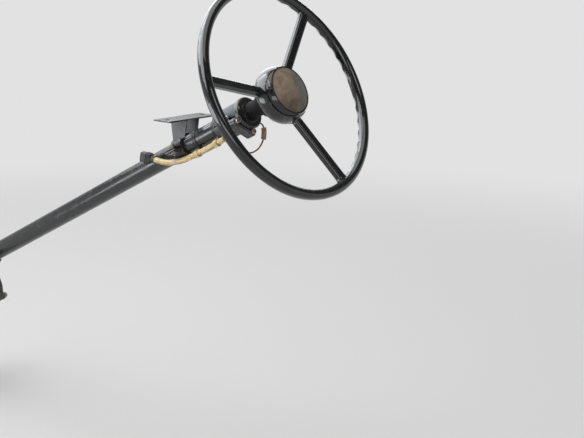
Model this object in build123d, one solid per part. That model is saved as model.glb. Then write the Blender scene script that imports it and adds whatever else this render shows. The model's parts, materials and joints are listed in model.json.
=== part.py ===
from build123d import *

import os
from math import atan2, cos, degrees, radians, sin, sqrt, tan

# Steering wheel, column and steering gear of a light four-wheel-drive field car.
#
# Part frame: +X to the front of the car, +Y to its left, +Z up. The origin is the centre of the
# three frame bolts, on the face of the gear housing that meets the frame, on the drop arm's shaft.
# Column frame: +X to the driver's right, +Y up in the plane of the wheel, +Z along the column to
# the driver, with zero in the middle of the rim. A size that ends in AT is a place on its Z.
# Gear frame: +X along the column to the driver, +Y square to it and up, +Z out to the frame,
# with the part's own origin. The worm's middle is above that origin.
# All sizes are in millimetres and degrees.

# Column
RAKE = 27.15                # column above the level
COLUMN_LENGTH = 1150.0      # middle of the rim to the middle of the worm
WORM_INBOARD = 52.0         # column axis inboard of the frame face
WORM_HEIGHT = 60.0          # worm axis to drop arm shaft axis
JACKET_RADIUS = 20.0
JACKET_WALL = 2.0
JACKET_TOP_AT = -103.0
SHAFT_RADIUS = 10.0
SHAFT_TOP_AT = -24.0
SHAFT_BOTTOM = -30.0        # lower end, along the column from the worm's middle
RUNNING_GAP = 0.05          # radial, shaft in its bearing
BUSH_LENGTH = 24.0

# Rim, with its rear half a little narrower than its front half
RIM_DIAMETER = 425.0
RIM_WIDTH = 19.2
RIM_DEPTH = 23.0
RIM_LEDGE = 0.7
RIM_PARTING_AT = -1.5
GRIP_PITCH = 8.0            # angle from one finger grip to the next
GRIPS_PER_GAP = 13
GRIP_DEPTH = 2.0
GRIP_LENGTH = 22.0
GRIP_LEAN = 42.0            # direction of the grips, from the wheel's plane to its rear

# Spokes, at their angle from the driver's right, anticlockwise
SPOKES = {
    "spoke_upper_right": 48.7,
    "spoke_lower": -71.3,
    "spoke_left": 168.7,
}
SPOKE_WIDTH = 20.0
SPOKE_DEPTH = 14.0
SPOKE_INNER_AT = -20.5
SPOKE_OUTER_AT = -1.5
SPOKE_FRONT_ROUND = 5.5
SPOKE_REAR_ROUND = 4.0
RIM_FLARE = 12.0            # radius of the spoke's root at the rim
HUB_FLARE = 9.0             # radius of the spoke's root at the hub
FLARE_TRIM = 2.5            # how far short of a full quarter turn a flare ends
FLARE_INTO_RIM = 2.5
FLARE_INTO_HUB = 6.0
SPOKE_OVERRUN = 1.0         # extra length in the side view, cut off by the plan

# Hub bell and horn button
BELL_RADIUS = 56.0
BELL_WIDEST_AT = -21.0
BELL_REAR_AT = -39.0
BELL_REAR_RADIUS = 47.0
BELL_REAR_ROUND = 4.0
ROOT_PAD_WIDTH = 23.0       # raised pad on the bell's side at each spoke
ROOT_PAD_RISE = 1.2
ROOT_PAD_REAR_AT = -34.0
ROOT_PAD_FRONT_AT = 1.0
ROOT_PAD_ROUND = 0.8
BELL_FRONT_AT = 6.4
LIP_RADIUS = 47.0
LIP_WALL = 1.6
BELL_WALL = 6.0
BELL_FLOOR = 9.0
BUTTON_SEAT_AT = -3.0
BUTTON_GAP = 0.9
BUTTON_DOME = 6.0
BUTTON_WALL = 3.0
HUB_RADIUS = 24.0
HUB_SKIRT_RADIUS = 38.0
HUB_SKIRT_EDGE = 4.0
HUB_SKIRT_END_AT = -62.0
HUB_SKIRT_END_RADIUS = 27.0
HUB_NECK_RADIUS = 17.0
HUB_CLEARANCE = 6.0         # turning hub to the switch that stands still

# Direction switch, on the column under the hub
SWITCH_RADIUS = 32.0
SWITCH_FRONT_AT = -105.0
SWITCH_DEPTH = 9.0
SWITCH_ROUND = 4.0
CHIN_DROP = 4.5             # chin behind the drum's face
CHIN_DEPTH = 18.5
CHIN_BEVEL = 3.0
SWITCH_LUGS = ((-36.8, -12.2, 8.5), (-4.7, -37.1, 8.5))     # right, up, radius
SCREW_HEAD_RADIUS = 5.2
SCREW_HEAD = 3.2
SLEEVE_RADIUS = 29.5
SLEEVE_LENGTH = 68.0
SLEEVE_SLOT = 3.0
SLEEVE_SLOT_UP = 0.0
SLEEVE_EAR = 7.0
SLEEVE_EAR_WALL = 4.0
SLEEVE_EAR_LENGTH = 24.0
SLEEVE_EAR_AT = -141.0      # middle of the ears
SLEEVE_SLIT_WEB = 4.0       # how far short of the column axis the slit ends

# Dash clamp
CLAMP_AT = -300.0
CLAMP_LENGTH = 30.0
CLAMP_BUSH_WALL = 3.5
CLAMP_METAL = 2.5
CLAMP_EAR = 19.0
CLAMP_EAR_GAP = 2.0
CLAMP_BOLT_RADIUS = 3.0
CLAMP_BOLT_PLAY = 0.3
CLAMP_BOLT_ACROSS = 10.0
CLAMP_BOLT_HEAD = 4.0
CLAMP_NUT_THICK = 5.0
CLAMP_BOLT_END = 1.0        # thread beyond the nut
DASH_PLATE_RISE = 62.0      # top of the dash plate above the column axis
DASH_PLATE_X = 44.0
DASH_PLATE_Y = 130.0
DASH_PLATE_THICK = 3.0
DASH_GUSSET_SPREAD = 34.0
DASH_HOLE_SPACING = 100.0
DASH_HOLE_RADIUS = 4.5

# Wiring sheath, its route in the column frame, with its clips and its plug
SHEATH_RADIUS = 6.0
SHEATH_ROUTE = (
    (-24.5, -27.5, -168.0),
    (-23.5, -29.0, -208.0),
    (-21.5, -28.0, -254.0),
    (-21.5, -25.5, -300.0),
    (-30.0, -17.0, -334.0),
    (-37.0, 0.0, -357.0),
)
CLIP_PLACES = (-192.0, -252.0)
CLIP_WALL = 1.2
CLIP_LENGTH = 10.0
CLIP_GAP = 0.5
CLIP_BRIDGE = 6.0
PLUG_WIDTH = 16.0
PLUG_HEIGHT = 20.0
PLUG_LENGTH = 22.0
PLUG_ROUND = 3.0
PLUG_COLLAR_RADIUS = 7.5
PLUG_COLLAR = 8.0
PLUG_RIDGES = (10.5, 14.0, 17.5)    # places of the finger ridges on the plug's body
PLUG_RIDGE = 1.4
PLUG_RIDGE_RISE = 0.9
PLUG_WALL = 1.6
PLUG_RECESS = 1.5           # depth of the recess in its end

# Leads from the switch into the sheath's mouth
LEADS = {
    "switch_lead_long": (1.5, (
        (24.1, -21.7, -112.0),
        (29.5, -28.0, -111.0),
        (30.5, -38.5, -114.0),
        (29.5, -54.0, -122.5),
        (22.0, -67.0, -135.0),
        (8.0, -71.0, -146.0),
        (-6.0, -62.0, -150.0),
        (-16.0, -48.0, -151.0),
        (-21.2, -34.0, -157.0),
        (-21.8, -31.0, -167.3),
    )),
    "switch_lead_short": (1.2, (
        (-14.0, -29.8, -128.3),
        (-15.0, -31.0, -138.0),
        (-20.0, -31.5, -148.0),
        (-26.5, -28.0, -157.0),
        (-27.3, -25.6, -167.5),
    )),
}
LEAD_SLEEVE_RADIUS = 5.0
LEAD_SLEEVE_SPAN = (0.10, 0.27)     # stretch of the long lead inside the sleeve, as shares of it

# Gear housing
BARREL_RADIUS = 36.0
BARREL_FRONT = -55.0
BARREL_REAR = 50.0
NECK_RADIUS = 25.0
NECK_START = 78.0
JACKET_SEAT = 8.0           # how far the jacket goes in past the neck
SHAFT_END_ROOM = 3.0
NECK_END = 112.0
NECK_SLOT = 3.0
CHAMBER_RADIUS = 44.0
CHAMBER_INNER = -88.0
CHAMBER_OUTER = -16.0
CHAMBER_ROUND = 5.0
SNOUT_RADIUS = 27.0
SNOUT_REACH = 32.0
PILOT_RADIUS = 32.0
PILOT_REACH = 6.0
COLLAR_RADIUS = 38.0        # collar behind the flange
LUG_ROOT_RADIUS = 28.0      # circle that the flange's lugs grow out of
FLANGE_THICK = 14.0
FLANGE_LUG_RADIUS = 14.0
FRAME_PCD = 124.0
FRAME_HOLE_RADIUS = 5.5
FRAME_BOLT_ANGLES = (30.0, 150.0, 270.0)
FRAME_BOLT_ROOM = 8.0       # free length for a nut behind the flange
RIB_THICK = 4.0
RIB_SPREAD = 24.0           # middles of the two ribs beside the lowest bolt
RIB_DROP = 30.0
COVER_SEAT = 11.0           # matching flange on the housing
COVER_THICK = 9.0
COVER_RADIUS = 47.0
COVER_LOBE_RADIUS = 10.0
COVER_LOBE_PCD = 96.0
COVER_BOSS_RADIUS = 17.0
COVER_BOSS_RISE = 10.0
ADJUSTER_ACROSS = 27.0
ADJUSTER_RISE = 13.0
SHIM_THICK = 1.0
END_COVER_THICK = 9.0
END_COVER_RADIUS = 32.0
END_LOBE_RADIUS = 9.0
END_LOBE_PCD = 58.0
END_SEAT = 20.0             # bosses on the barrel for the end cover's bolts
END_BOSS_RADIUS = 14.0
END_BOSS_RISE = 6.0
GLAND_ACROSS = 17.0
GLAND_RISE = 12.0
GLAND_BORE = 3.0
PLUG_ACROSS = 19.0
PLUG_RISE = 8.0
PLUG_BOSS_RADIUS = 13.0
PLUG_BOSS_X = 24.0
PLUG_BOSS_RISE = 4.0        # above the barrel
PLUG_COLLAR_EDGE = 1.5
PLUG_COLLAR_THICK = 2.0
CONE_RIB_THICK = 5.0
CONE_RIB_FROM = 46.0
CONE_RIB_TO = 91.0
CONE_RIB_END_RISE = 2.0     # above the neck
CONE_RIB_ANGLES = (90.0, 180.0, 270.0)     # about the worm axis, from the top
NECK_SLIT_LENGTH = 28.0
NECK_CLAMP_WALL = 3.0
NECK_CLAMP_LENGTH = 16.0
NECK_CLAMP_EAR = 18.5       # beyond the band
NECK_CLAMP_SET_BACK = 2.0   # from the end of the neck

# Drop arm and its shaft
ARM_SHAFT_RADIUS = 16.0
ARM_SHAFT_INNER = -60.0
ARM_INNER_Y = 42.0
ARM_BOSS_DEPTH = 26.0
ARM_BOSS_RADIUS = 25.0
ARM_LENGTH = 165.0
ARM_END_RADIUS = 16.0
ARM_THICK = 15.0
ARM_POCKET_DEPTH = 3.0
ARM_BLADE_TOP = 21.0        # half width of the blade at its boss
ARM_BLADE_FOOT = 14.0       # and at its end
ARM_POCKET_TOP = 9.0
ARM_POCKET_FOOT = 5.5
ARM_POCKET_SPACE = 14.0     # from a boss to the end of the pocket
ARM_END_RISE = 2.0          # boss of the ball, proud of each face
ARM_THREAD_END = 4.0        # thread beyond the nut
ARM_THREAD_RADIUS = 11.0
ARM_NUT_ACROSS = 36.0
ARM_NUT_THICK = 15.0
SEAL_DEPTH = 7.0
SEAL_RADIUS = 23.0
STUD_RADIUS = 8.5
STUD_NECK_RADIUS = 7.0
STUD_COLLAR_EDGE = 4.0
STUD_COLLAR = 4.0
BALL_RADIUS = 13.5
BALL_OUTBOARD = 24.0        # ball centre beyond the arm's outer face
STUD_NUT_ACROSS = 24.0
STUD_NUT_THICK = 11.0

# Places worked out from these
AXIS = Vector(-cos(radians(RAKE)), 0, sin(radians(RAKE)))
PLANE_UP = Vector(sin(radians(RAKE)), 0, cos(radians(RAKE)))
WHEEL_CENTRE = Vector(0, -WORM_INBOARD, 0) + PLANE_UP * WORM_HEIGHT + AXIS * COLUMN_LENGTH
COLUMN = Plane(origin=WHEEL_CENTRE, x_dir=(0, -1, 0), z_dir=AXIS).location
GEAR = Plane(origin=(0, 0, 0), x_dir=AXIS, z_dir=(0, 1, 0)).location
RIM_RADIUS = RIM_DIAMETER / 2 - RIM_WIDTH / 2
RIM_INSIDE = RIM_RADIUS - RIM_WIDTH / 2
BELL_FLOOR_AT = BELL_REAR_AT + BELL_FLOOR
BUTTON_RADIUS = LIP_RADIUS - LIP_WALL - BUTTON_GAP
SWITCH_REAR_AT = SWITCH_FRONT_AT - SWITCH_DEPTH
SLEEVE_END_AT = SWITCH_REAR_AT - SLEEVE_LENGTH
HUB_END_AT = SWITCH_FRONT_AT + HUB_CLEARANCE
CLAMP_INSIDE = JACKET_RADIUS + CLAMP_BUSH_WALL
CLAMP_OUTSIDE = CLAMP_INSIDE + CLAMP_METAL
NECK_CLAMP_MIDDLE = NECK_END - NECK_CLAMP_LENGTH / 2 - NECK_CLAMP_SET_BACK
JACKET_FOOT = NECK_START - JACKET_SEAT


# Shared shapes

def turned(face):
    """Solid of revolution about the column from a face of (radius, place)."""
    return revolve(Plane.XZ * face, Axis.Z)


def ring(inside, outside, low, high):
    """Plain ring about the column."""
    return turned(Pos((inside + outside) / 2, (low + high) / 2) * Rectangle(outside - inside, high - low))


def disc(radius, low, high):
    """Plain round bar along the column."""
    return Pos(0, 0, (low + high) / 2) * Cylinder(radius, high - low)


def along_x(sketch, low, high):
    """Sketch of (y, z) made solid from one x to another."""
    return Pos(low, 0, 0) * extrude(Plane.YZ * sketch, amount=high - low)


def along_y(sketch, low, high):
    """Sketch of (x, z) made solid from one y to another."""
    return Pos(0, high, 0) * extrude(Plane.XZ * sketch, amount=high - low)


def along_z(sketch, low, high):
    """Sketch of (x, y) made solid from one z to another."""
    return Pos(0, 0, low) * extrude(sketch, amount=high - low)


def hexagon(across):
    """Hexagon by its size across flats."""
    return RegularPolygon(across / 2, 6, major_radius=False)


def bent_path(points):
    """Route with one arc at each corner, as large as its two runs allow."""
    places = [Vector(*point) for point in points]
    bends = []
    for before, here, after in zip(places, places[1:], places[2:]):
        turn = (here - before).get_angle(after - here)
        run = min((here - before).length, (after - here).length)
        bends.append(0.45 * run / tan(radians(turn / 2)))
    print("  bend radii", [round(bend, 1) for bend in bends])
    return FilletPolyline(*places, radius=bends)


def along_path(section, path):
    """Section swept along a path, its volume compared with its area times the length."""
    start = Plane(origin=path @ 0, z_dir=path % 0)
    rod = sweep(start * section, path=path)
    print("  volume ratio", round(rod.volume / (section.area * path.length), 4))
    return rod


# Rim, spokes and hub

def rim_blank():
    """Rim before its finger grips: a round front half and a slightly narrower round rear half."""
    front_round = RIM_WIDTH / 2
    rear_round = rim_rear_round()
    front = Pos(RIM_RADIUS, RIM_DEPTH / 2 - front_round) * Circle(front_round)
    rear = Pos(RIM_RADIUS, rear_round - RIM_DEPTH / 2) * Circle(rear_round)
    neck_low = rear_round - RIM_DEPTH / 2
    neck_high = RIM_DEPTH / 2 - front_round
    front += Pos(RIM_RADIUS, (RIM_PARTING_AT + neck_high) / 2) * Rectangle(RIM_WIDTH, neck_high - RIM_PARTING_AT)
    rear += Pos(RIM_RADIUS, (RIM_PARTING_AT + neck_low) / 2) * Rectangle(2 * rear_round, RIM_PARTING_AT - neck_low)
    return turned(front + rear)


def rim_rear_round():
    """Radius of the rear half of the rim's section."""
    return RIM_WIDTH / 2 - RIM_LEDGE


def grip_cutter():
    """Round cutter for one finger grip, on the inner rear of the section."""
    lean = radians(GRIP_LEAN)
    radius = (GRIP_LENGTH ** 2 / 4 + GRIP_DEPTH ** 2) / (2 * GRIP_DEPTH)
    away = rim_rear_round() - GRIP_DEPTH + radius
    section_at = rim_rear_round() - RIM_DEPTH / 2
    centre = (RIM_RADIUS - away * cos(lean), 0, section_at - away * sin(lean))
    plane = Plane(origin=centre, z_dir=(-sin(lean), 0, cos(lean)))
    return plane.location * Cylinder(radius, 2 * RIM_DEPTH)


def grip_angles():
    """Angles of all finger grips, in even rows between the spokes."""
    middle = (GRIPS_PER_GAP - 1) / 2
    return [spoke + 60 + (step - middle) * GRIP_PITCH
            for spoke in SPOKES.values() for step in range(GRIPS_PER_GAP)]


def rim():
    return rim_blank() - [Rot(0, 0, angle) * grip_cutter() for angle in grip_angles()]


def bell_form(grow):
    """Bowl of the bell, widest behind its middle, with every radius larger by a little."""
    widest = (BELL_RADIUS + grow, BELL_WIDEST_AT)
    lip = (LIP_RADIUS + grow, BELL_FRONT_AT)
    rear = (BELL_REAR_RADIUS + grow, BELL_REAR_AT)
    front_side = TangentArc(widest, lip, tangent=(0, 1))
    rear_side = TangentArc(widest, rear, tangent=(0, -1))
    inside = Polyline(lip, (0, BELL_FRONT_AT), (0, BELL_REAR_AT), rear)
    face = make_face(front_side + rear_side + inside)
    corner = face.vertices().sort_by_distance((*rear, 0))[0]
    return turned(fillet(corner, BELL_REAR_ROUND))


def root_pads():
    """Raised pads on the bell's side that the spokes grow out of."""
    skin = bell_form(ROOT_PAD_RISE)
    pads = []
    for angle in SPOKES.values():
        reach = Pos(BELL_RADIUS, 0) * Rectangle(2 * (BELL_RADIUS - HUB_RADIUS), ROOT_PAD_WIDTH)
        pad = skin & (Rot(0, 0, angle) * along_z(reach, ROOT_PAD_REAR_AT, ROOT_PAD_FRONT_AT))
        outer = [edge for edge in pad.edges() if Vector(edge.center().X, edge.center().Y, 0).length > BELL_REAR_RADIUS]
        pads.append(fillet(outer, ROOT_PAD_ROUND))
    return pads


def bell_blank():
    """Outer form of the hub bell, filled."""
    return bell_form(0) + root_pads()


def spoke_plan():
    """Spoke seen from the driver, along +X, flared at both roots."""
    outer = RIM_INSIDE + FLARE_INTO_RIM
    inner = BELL_RADIUS - FLARE_INTO_HUB
    half = SPOKE_WIDTH / 2
    plan = Pos((inner + outer) / 2, 0) * Rectangle(outer - inner, SPOKE_WIDTH)
    for root, flare, side in ((outer, RIM_FLARE, -1), (inner, HUB_FLARE, 1)):
        plan += Pos(root + side * flare / 2, 0) * Rectangle(flare, SPOKE_WIDTH + 2 * flare)
        for hand in (-1, 1):
            plan -= Pos(root + side * (flare - FLARE_TRIM), hand * (half + flare)) * Circle(flare)
    return plan


def spoke_side():
    """Spoke seen from its side, rising from the hub to the rim."""
    inner = BELL_RADIUS - FLARE_INTO_HUB - SPOKE_OVERRUN
    outer = RIM_INSIDE + FLARE_INTO_RIM + SPOKE_OVERRUN
    half = SPOKE_DEPTH / 2
    return make_face(Polyline((inner, SPOKE_INNER_AT + half), (outer, SPOKE_OUTER_AT + half),
                              (outer, SPOKE_OUTER_AT - half), (inner, SPOKE_INNER_AT - half), close=True))


def spoke(angle):
    """Dished spoke with rounded edges, cut to the rim and to the bell."""
    bar = along_z(spoke_plan(), -RIM_DIAMETER, RIM_DIAMETER)
    bar &= along_y(spoke_side(), -RIM_DIAMETER, RIM_DIAMETER)
    ends = bar.bounding_box()
    long_edges = [edge for edge in bar.edges()
                  if abs(edge.tangent_at(0.5).Z) < 0.5
                  and ends.min.X + 0.1 < edge.center().X < ends.max.X - 0.1]
    line = (SPOKE_INNER_AT + SPOKE_OUTER_AT) / 2
    slope = (SPOKE_OUTER_AT - SPOKE_INNER_AT) / (ends.max.X - ends.min.X)
    middle = (ends.max.X + ends.min.X) / 2
    front = [edge for edge in long_edges if edge.center().Z > line + slope * (edge.center().X - middle)]
    rear = [edge for edge in long_edges if edge not in front]
    bar = fillet(front, SPOKE_FRONT_ROUND)
    rear = [match_edge(bar, edge) for edge in rear]
    bar = fillet(rear, SPOKE_REAR_ROUND)
    return Rot(0, 0, angle) * bar - rim_blank() - bell_blank()


def match_edge(solid, edge):
    """Edge of a changed solid that lies where an edge of the old solid was."""
    return min(solid.edges(), key=lambda other: (other.center() - edge.center()).length)


def hub_bell():
    bell = bell_blank()
    bell -= disc(LIP_RADIUS - LIP_WALL, BUTTON_SEAT_AT, BELL_FRONT_AT)
    bell -= disc(LIP_RADIUS - BELL_WALL, BELL_FLOOR_AT, BUTTON_SEAT_AT)
    return bell - disc(HUB_RADIUS, BELL_REAR_AT, BELL_FLOOR_AT)


def horn_button():
    dome = TangentArc((0, BELL_FRONT_AT + BUTTON_DOME), (BUTTON_RADIUS, BELL_FRONT_AT), tangent=(1, 0))
    inside = BUTTON_RADIUS - BUTTON_WALL
    under = Polyline((BUTTON_RADIUS, BELL_FRONT_AT), (BUTTON_RADIUS, BUTTON_SEAT_AT),
                     (inside, BUTTON_SEAT_AT), (inside, BELL_FRONT_AT - BUTTON_WALL),
                     (0, BELL_FRONT_AT - BUTTON_WALL), (0, BELL_FRONT_AT + BUTTON_DOME))
    return turned(make_face(dome + under))


def hub_boss():
    """Steel hub in the bell's floor, with a skirt behind it and a neck to the switch."""
    outline = Polyline(
        (SHAFT_RADIUS, BELL_FLOOR_AT), (HUB_RADIUS, BELL_FLOOR_AT), (HUB_RADIUS, BELL_REAR_AT),
        (HUB_SKIRT_RADIUS, BELL_REAR_AT), (HUB_SKIRT_RADIUS, BELL_REAR_AT - HUB_SKIRT_EDGE),
        (HUB_SKIRT_END_RADIUS, HUB_SKIRT_END_AT), (HUB_NECK_RADIUS, HUB_SKIRT_END_AT),
        (HUB_NECK_RADIUS, HUB_END_AT), (SHAFT_RADIUS, HUB_END_AT), close=True)
    return turned(make_face(outline))


def steering_shaft():
    return disc(SHAFT_RADIUS, SHAFT_BOTTOM - COLUMN_LENGTH, SHAFT_TOP_AT)


# Column, switch and dash clamp

def column_jacket():
    return ring(JACKET_RADIUS - JACKET_WALL, JACKET_RADIUS, JACKET_FOOT - COLUMN_LENGTH, JACKET_TOP_AT)


def upper_bush():
    return ring(SHAFT_RADIUS + RUNNING_GAP, JACKET_RADIUS - JACKET_WALL,
                JACKET_TOP_AT - BUSH_LENGTH, JACKET_TOP_AT)


def switch_chin():
    """Chin of the switch, which joins its two screw lugs."""
    lugs = [Pos(right, up) * Circle(radius) for right, up, radius in SWITCH_LUGS]
    return make_hull(lugs[0].edges() + lugs[1].edges())


def switch_drum():
    """Cap of the switch with a round front edge, on a bevelled chin that reaches back over the sleeve."""
    drum = disc(SWITCH_RADIUS, SWITCH_REAR_AT, SWITCH_FRONT_AT)
    drum = fillet(drum.edges().sort_by(Axis.Z)[-1], SWITCH_ROUND)
    chin_front = SWITCH_FRONT_AT - CHIN_DROP
    chin = along_z(switch_chin(), chin_front - CHIN_DEPTH, chin_front)
    chin = chamfer(chin.faces().sort_by(Axis.Z)[-1].edges(), CHIN_BEVEL)
    chin -= disc(SLEEVE_RADIUS, chin_front - CHIN_DEPTH, SWITCH_REAR_AT)
    return drum + chin - disc(JACKET_RADIUS, SWITCH_REAR_AT, SWITCH_FRONT_AT)


def switch_screws():
    """Two cheese-head screws on the lugs."""
    screws = Part()
    foot = SWITCH_FRONT_AT - CHIN_DROP
    for right, up, _ in SWITCH_LUGS:
        screws += Pos(right, up, 0) * disc(SCREW_HEAD_RADIUS, foot, foot + SCREW_HEAD)
    return screws


def switch_sleeve():
    """Sleeve of the switch, slit along its left side between two clamping ears."""
    ears = Pos(-SLEEVE_RADIUS, SLEEVE_SLOT_UP) * Rectangle(2 * SLEEVE_EAR, SLEEVE_SLOT + 2 * SLEEVE_EAR_WALL)
    body = disc(SLEEVE_RADIUS, SLEEVE_END_AT, SWITCH_REAR_AT)
    body += along_z(ears, SLEEVE_EAR_AT - SLEEVE_EAR_LENGTH / 2, SLEEVE_EAR_AT + SLEEVE_EAR_LENGTH / 2)
    slit = Pos(-SLEEVE_RADIUS, SLEEVE_SLOT_UP) * Rectangle(2 * (SLEEVE_RADIUS - SLEEVE_SLIT_WEB), SLEEVE_SLOT)
    return body - disc(JACKET_RADIUS, SLEEVE_END_AT, SWITCH_REAR_AT) - along_z(slit, SLEEVE_END_AT, SWITCH_REAR_AT)


def dash_bush():
    return ring(JACKET_RADIUS, CLAMP_INSIDE, CLAMP_AT - CLAMP_LENGTH / 2, CLAMP_AT + CLAMP_LENGTH / 2)


def clamp_half(hand):
    """Half of the dash clamp about the bush, above the column for hand 1 and below for hand -1."""
    half = Circle(CLAMP_OUTSIDE)
    reach = 2 * (CLAMP_OUTSIDE + CLAMP_EAR)
    half += Pos(0, hand * (CLAMP_EAR_GAP / 2 + CLAMP_METAL / 2)) * Rectangle(reach, CLAMP_METAL)
    half -= Circle(CLAMP_INSIDE)
    keep = Pos(0, hand * (CLAMP_EAR_GAP / 2 + CLAMP_OUTSIDE)) * Rectangle(reach, 2 * CLAMP_OUTSIDE)
    body = along_z(half & keep, CLAMP_AT - CLAMP_LENGTH / 2, CLAMP_AT + CLAMP_LENGTH / 2)
    for side in (-1, 1):
        hole = Rot(90, 0, 0) * Cylinder(CLAMP_BOLT_RADIUS + CLAMP_BOLT_PLAY, 4 * CLAMP_OUTSIDE)
        body -= Pos(side * clamp_bolt_out(), 0, CLAMP_AT) * hole
    return body


def clamp_bolt_out():
    """Distance of the clamp's bolts from the column axis."""
    return CLAMP_OUTSIDE + CLAMP_EAR / 2


def dash_strap():
    return COLUMN * clamp_half(-1)


def dash_plate_centre():
    """Middle of the dash plate's top face, in the part frame."""
    return WHEEL_CENTRE + AXIS * CLAMP_AT + Vector(0, 0, DASH_PLATE_RISE)


def dash_bracket():
    """Upper clamp half with two gussets up to a level plate that bolts under the dash."""
    top = dash_plate_centre()
    plate = Pos(top.X, top.Y, top.Z - DASH_PLATE_THICK / 2) * Box(DASH_PLATE_X, DASH_PLATE_Y, DASH_PLATE_THICK)
    for side in (-1, 1):
        hole = Cylinder(DASH_HOLE_RADIUS, 4 * DASH_PLATE_THICK)
        plate -= Pos(top.X, top.Y + side * DASH_HOLE_SPACING / 2, top.Z) * hole
    foot = WHEEL_CENTRE + AXIS * CLAMP_AT
    half_foot = AXIS * (CLAMP_LENGTH / 2)
    low = [foot - half_foot, foot + half_foot]
    corners = [(low[0].X, low[0].Z), (low[1].X, low[1].Z),
               (top.X - DASH_PLATE_X / 2, top.Z - DASH_PLATE_THICK),
               (top.X + DASH_PLATE_X / 2, top.Z - DASH_PLATE_THICK)]
    web = make_face(Polyline(*corners, close=True))
    bracket = COLUMN * clamp_half(1) + plate
    room = COLUMN * (disc(CLAMP_INSIDE, CLAMP_AT - CLAMP_LENGTH, CLAMP_AT + CLAMP_LENGTH)
                     + Pos(0, -CLAMP_OUTSIDE + CLAMP_EAR_GAP / 2 + CLAMP_METAL, CLAMP_AT)
                     * Box(4 * CLAMP_OUTSIDE, 2 * CLAMP_OUTSIDE, 4 * CLAMP_LENGTH))
    for side in (-1, 1):
        middle = top.Y + side * DASH_GUSSET_SPREAD / 2
        bracket += along_y(web, middle - CLAMP_METAL / 2, middle + CLAMP_METAL / 2) - room
    return bracket


def dash_clamp_bolts():
    """Two bolts with nuts through the clamp's ears."""
    bolts = Part()
    grip = CLAMP_EAR_GAP / 2 + CLAMP_METAL
    bolt = disc(CLAMP_BOLT_RADIUS, -grip - CLAMP_NUT_THICK - CLAMP_BOLT_END, grip)
    bolt += along_z(hexagon(CLAMP_BOLT_ACROSS), grip, grip + CLAMP_BOLT_HEAD)
    bolt += along_z(hexagon(CLAMP_BOLT_ACROSS), -grip - CLAMP_NUT_THICK, -grip)
    for side in (-1, 1):
        bolts += Pos(side * clamp_bolt_out(), 0, CLAMP_AT) * Rot(-90, 0, 0) * bolt
    return bolts


# Wiring

def loom_sheath():
    return along_path(Circle(SHEATH_RADIUS), bent_path(SHEATH_ROUTE))


def sheath_place(at):
    """Middle of the sheath where it passes a place on the column."""
    for near, far in zip(SHEATH_ROUTE, SHEATH_ROUTE[1:]):
        if near[2] >= at >= far[2]:
            share = (near[2] - at) / (near[2] - far[2])
            return tuple(a + share * (b - a) for a, b in zip(near, far))
    return SHEATH_ROUTE[-1]


def loom_clips():
    """Bands round the jacket, each with a loop for the sheath."""
    clips = Part()
    for at in CLIP_PLACES:
        right, up, _ = sheath_place(at)
        lean = degrees(atan2(up, right))
        away = sqrt(right ** 2 + up ** 2)
        loop_inside = SHEATH_RADIUS + CLIP_GAP
        band = Circle(JACKET_RADIUS + CLIP_WALL) + Pos(right, up) * Circle(loop_inside + CLIP_WALL)
        band += Rot(0, 0, lean) * Pos(away / 2, 0) * Rectangle(away, CLIP_BRIDGE)
        band -= Circle(JACKET_RADIUS) + Pos(right, up) * Circle(loop_inside)
        clips += along_z(band, at - CLIP_LENGTH / 2, at + CLIP_LENGTH / 2)
    return clips


def loom_plug():
    """Plug at the end of the sheath: a collar, a body with finger ridges, and a rim round its end."""
    end = Vector(*SHEATH_ROUTE[-1])
    before = Vector(*SHEATH_ROUTE[-2])
    along = (end - before).normalized()
    plane = Plane(origin=end, x_dir=Vector(1, 0, 0) - along * along.X, z_dir=along)
    outline = RectangleRounded(PLUG_WIDTH, PLUG_HEIGHT, PLUG_ROUND)
    plug = disc(PLUG_COLLAR_RADIUS, 0, PLUG_COLLAR) + along_z(outline, PLUG_COLLAR, PLUG_COLLAR + PLUG_LENGTH)
    ridge = RectangleRounded(PLUG_WIDTH + 2 * PLUG_RIDGE_RISE, PLUG_HEIGHT + 2 * PLUG_RIDGE_RISE, PLUG_ROUND)
    for at in PLUG_RIDGES:
        plug += along_z(ridge, at, at + PLUG_RIDGE)
    end = PLUG_COLLAR + PLUG_LENGTH
    inside = RectangleRounded(PLUG_WIDTH - 2 * PLUG_WALL, PLUG_HEIGHT - 2 * PLUG_WALL, PLUG_ROUND - PLUG_WALL)
    plug -= along_z(inside, end - PLUG_RECESS, end)
    return plane.location * plug


def lead(name):
    radius, route = LEADS[name]
    return along_path(Circle(radius), bent_path(route))


def lead_sleeve():
    """Insulating sleeve over a joint in the long lead."""
    radius, route = LEADS["switch_lead_long"]
    path = Wire(bent_path(route).edges()).trim(*LEAD_SLEEVE_SPAN)
    return along_path(Circle(LEAD_SLEEVE_RADIUS) - Circle(radius), path)


# Steering gear, in the gear frame

def barrel_bar(radius, low, high):
    """Round bar on the worm's axis."""
    return along_x(Pos(WORM_HEIGHT, -WORM_INBOARD) * Circle(radius), low, high)


def frame_holes():
    """Centres of the three frame bolts."""
    return [(FRAME_PCD / 2 * cos(radians(angle)), FRAME_PCD / 2 * sin(radians(angle)))
            for angle in FRAME_BOLT_ANGLES]


def housing_neck():
    """Cone and straight neck that take the foot of the jacket."""
    cone_face = make_face(Polyline((BARREL_REAR, 0), (BARREL_REAR, BARREL_RADIUS),
                                   (NECK_START, NECK_RADIUS), (NECK_END, NECK_RADIUS),
                                   (NECK_END, 0), close=True))
    cone = revolve(cone_face, Axis.X)
    return Pos(0, WORM_HEIGHT, -WORM_INBOARD) * cone


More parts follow.
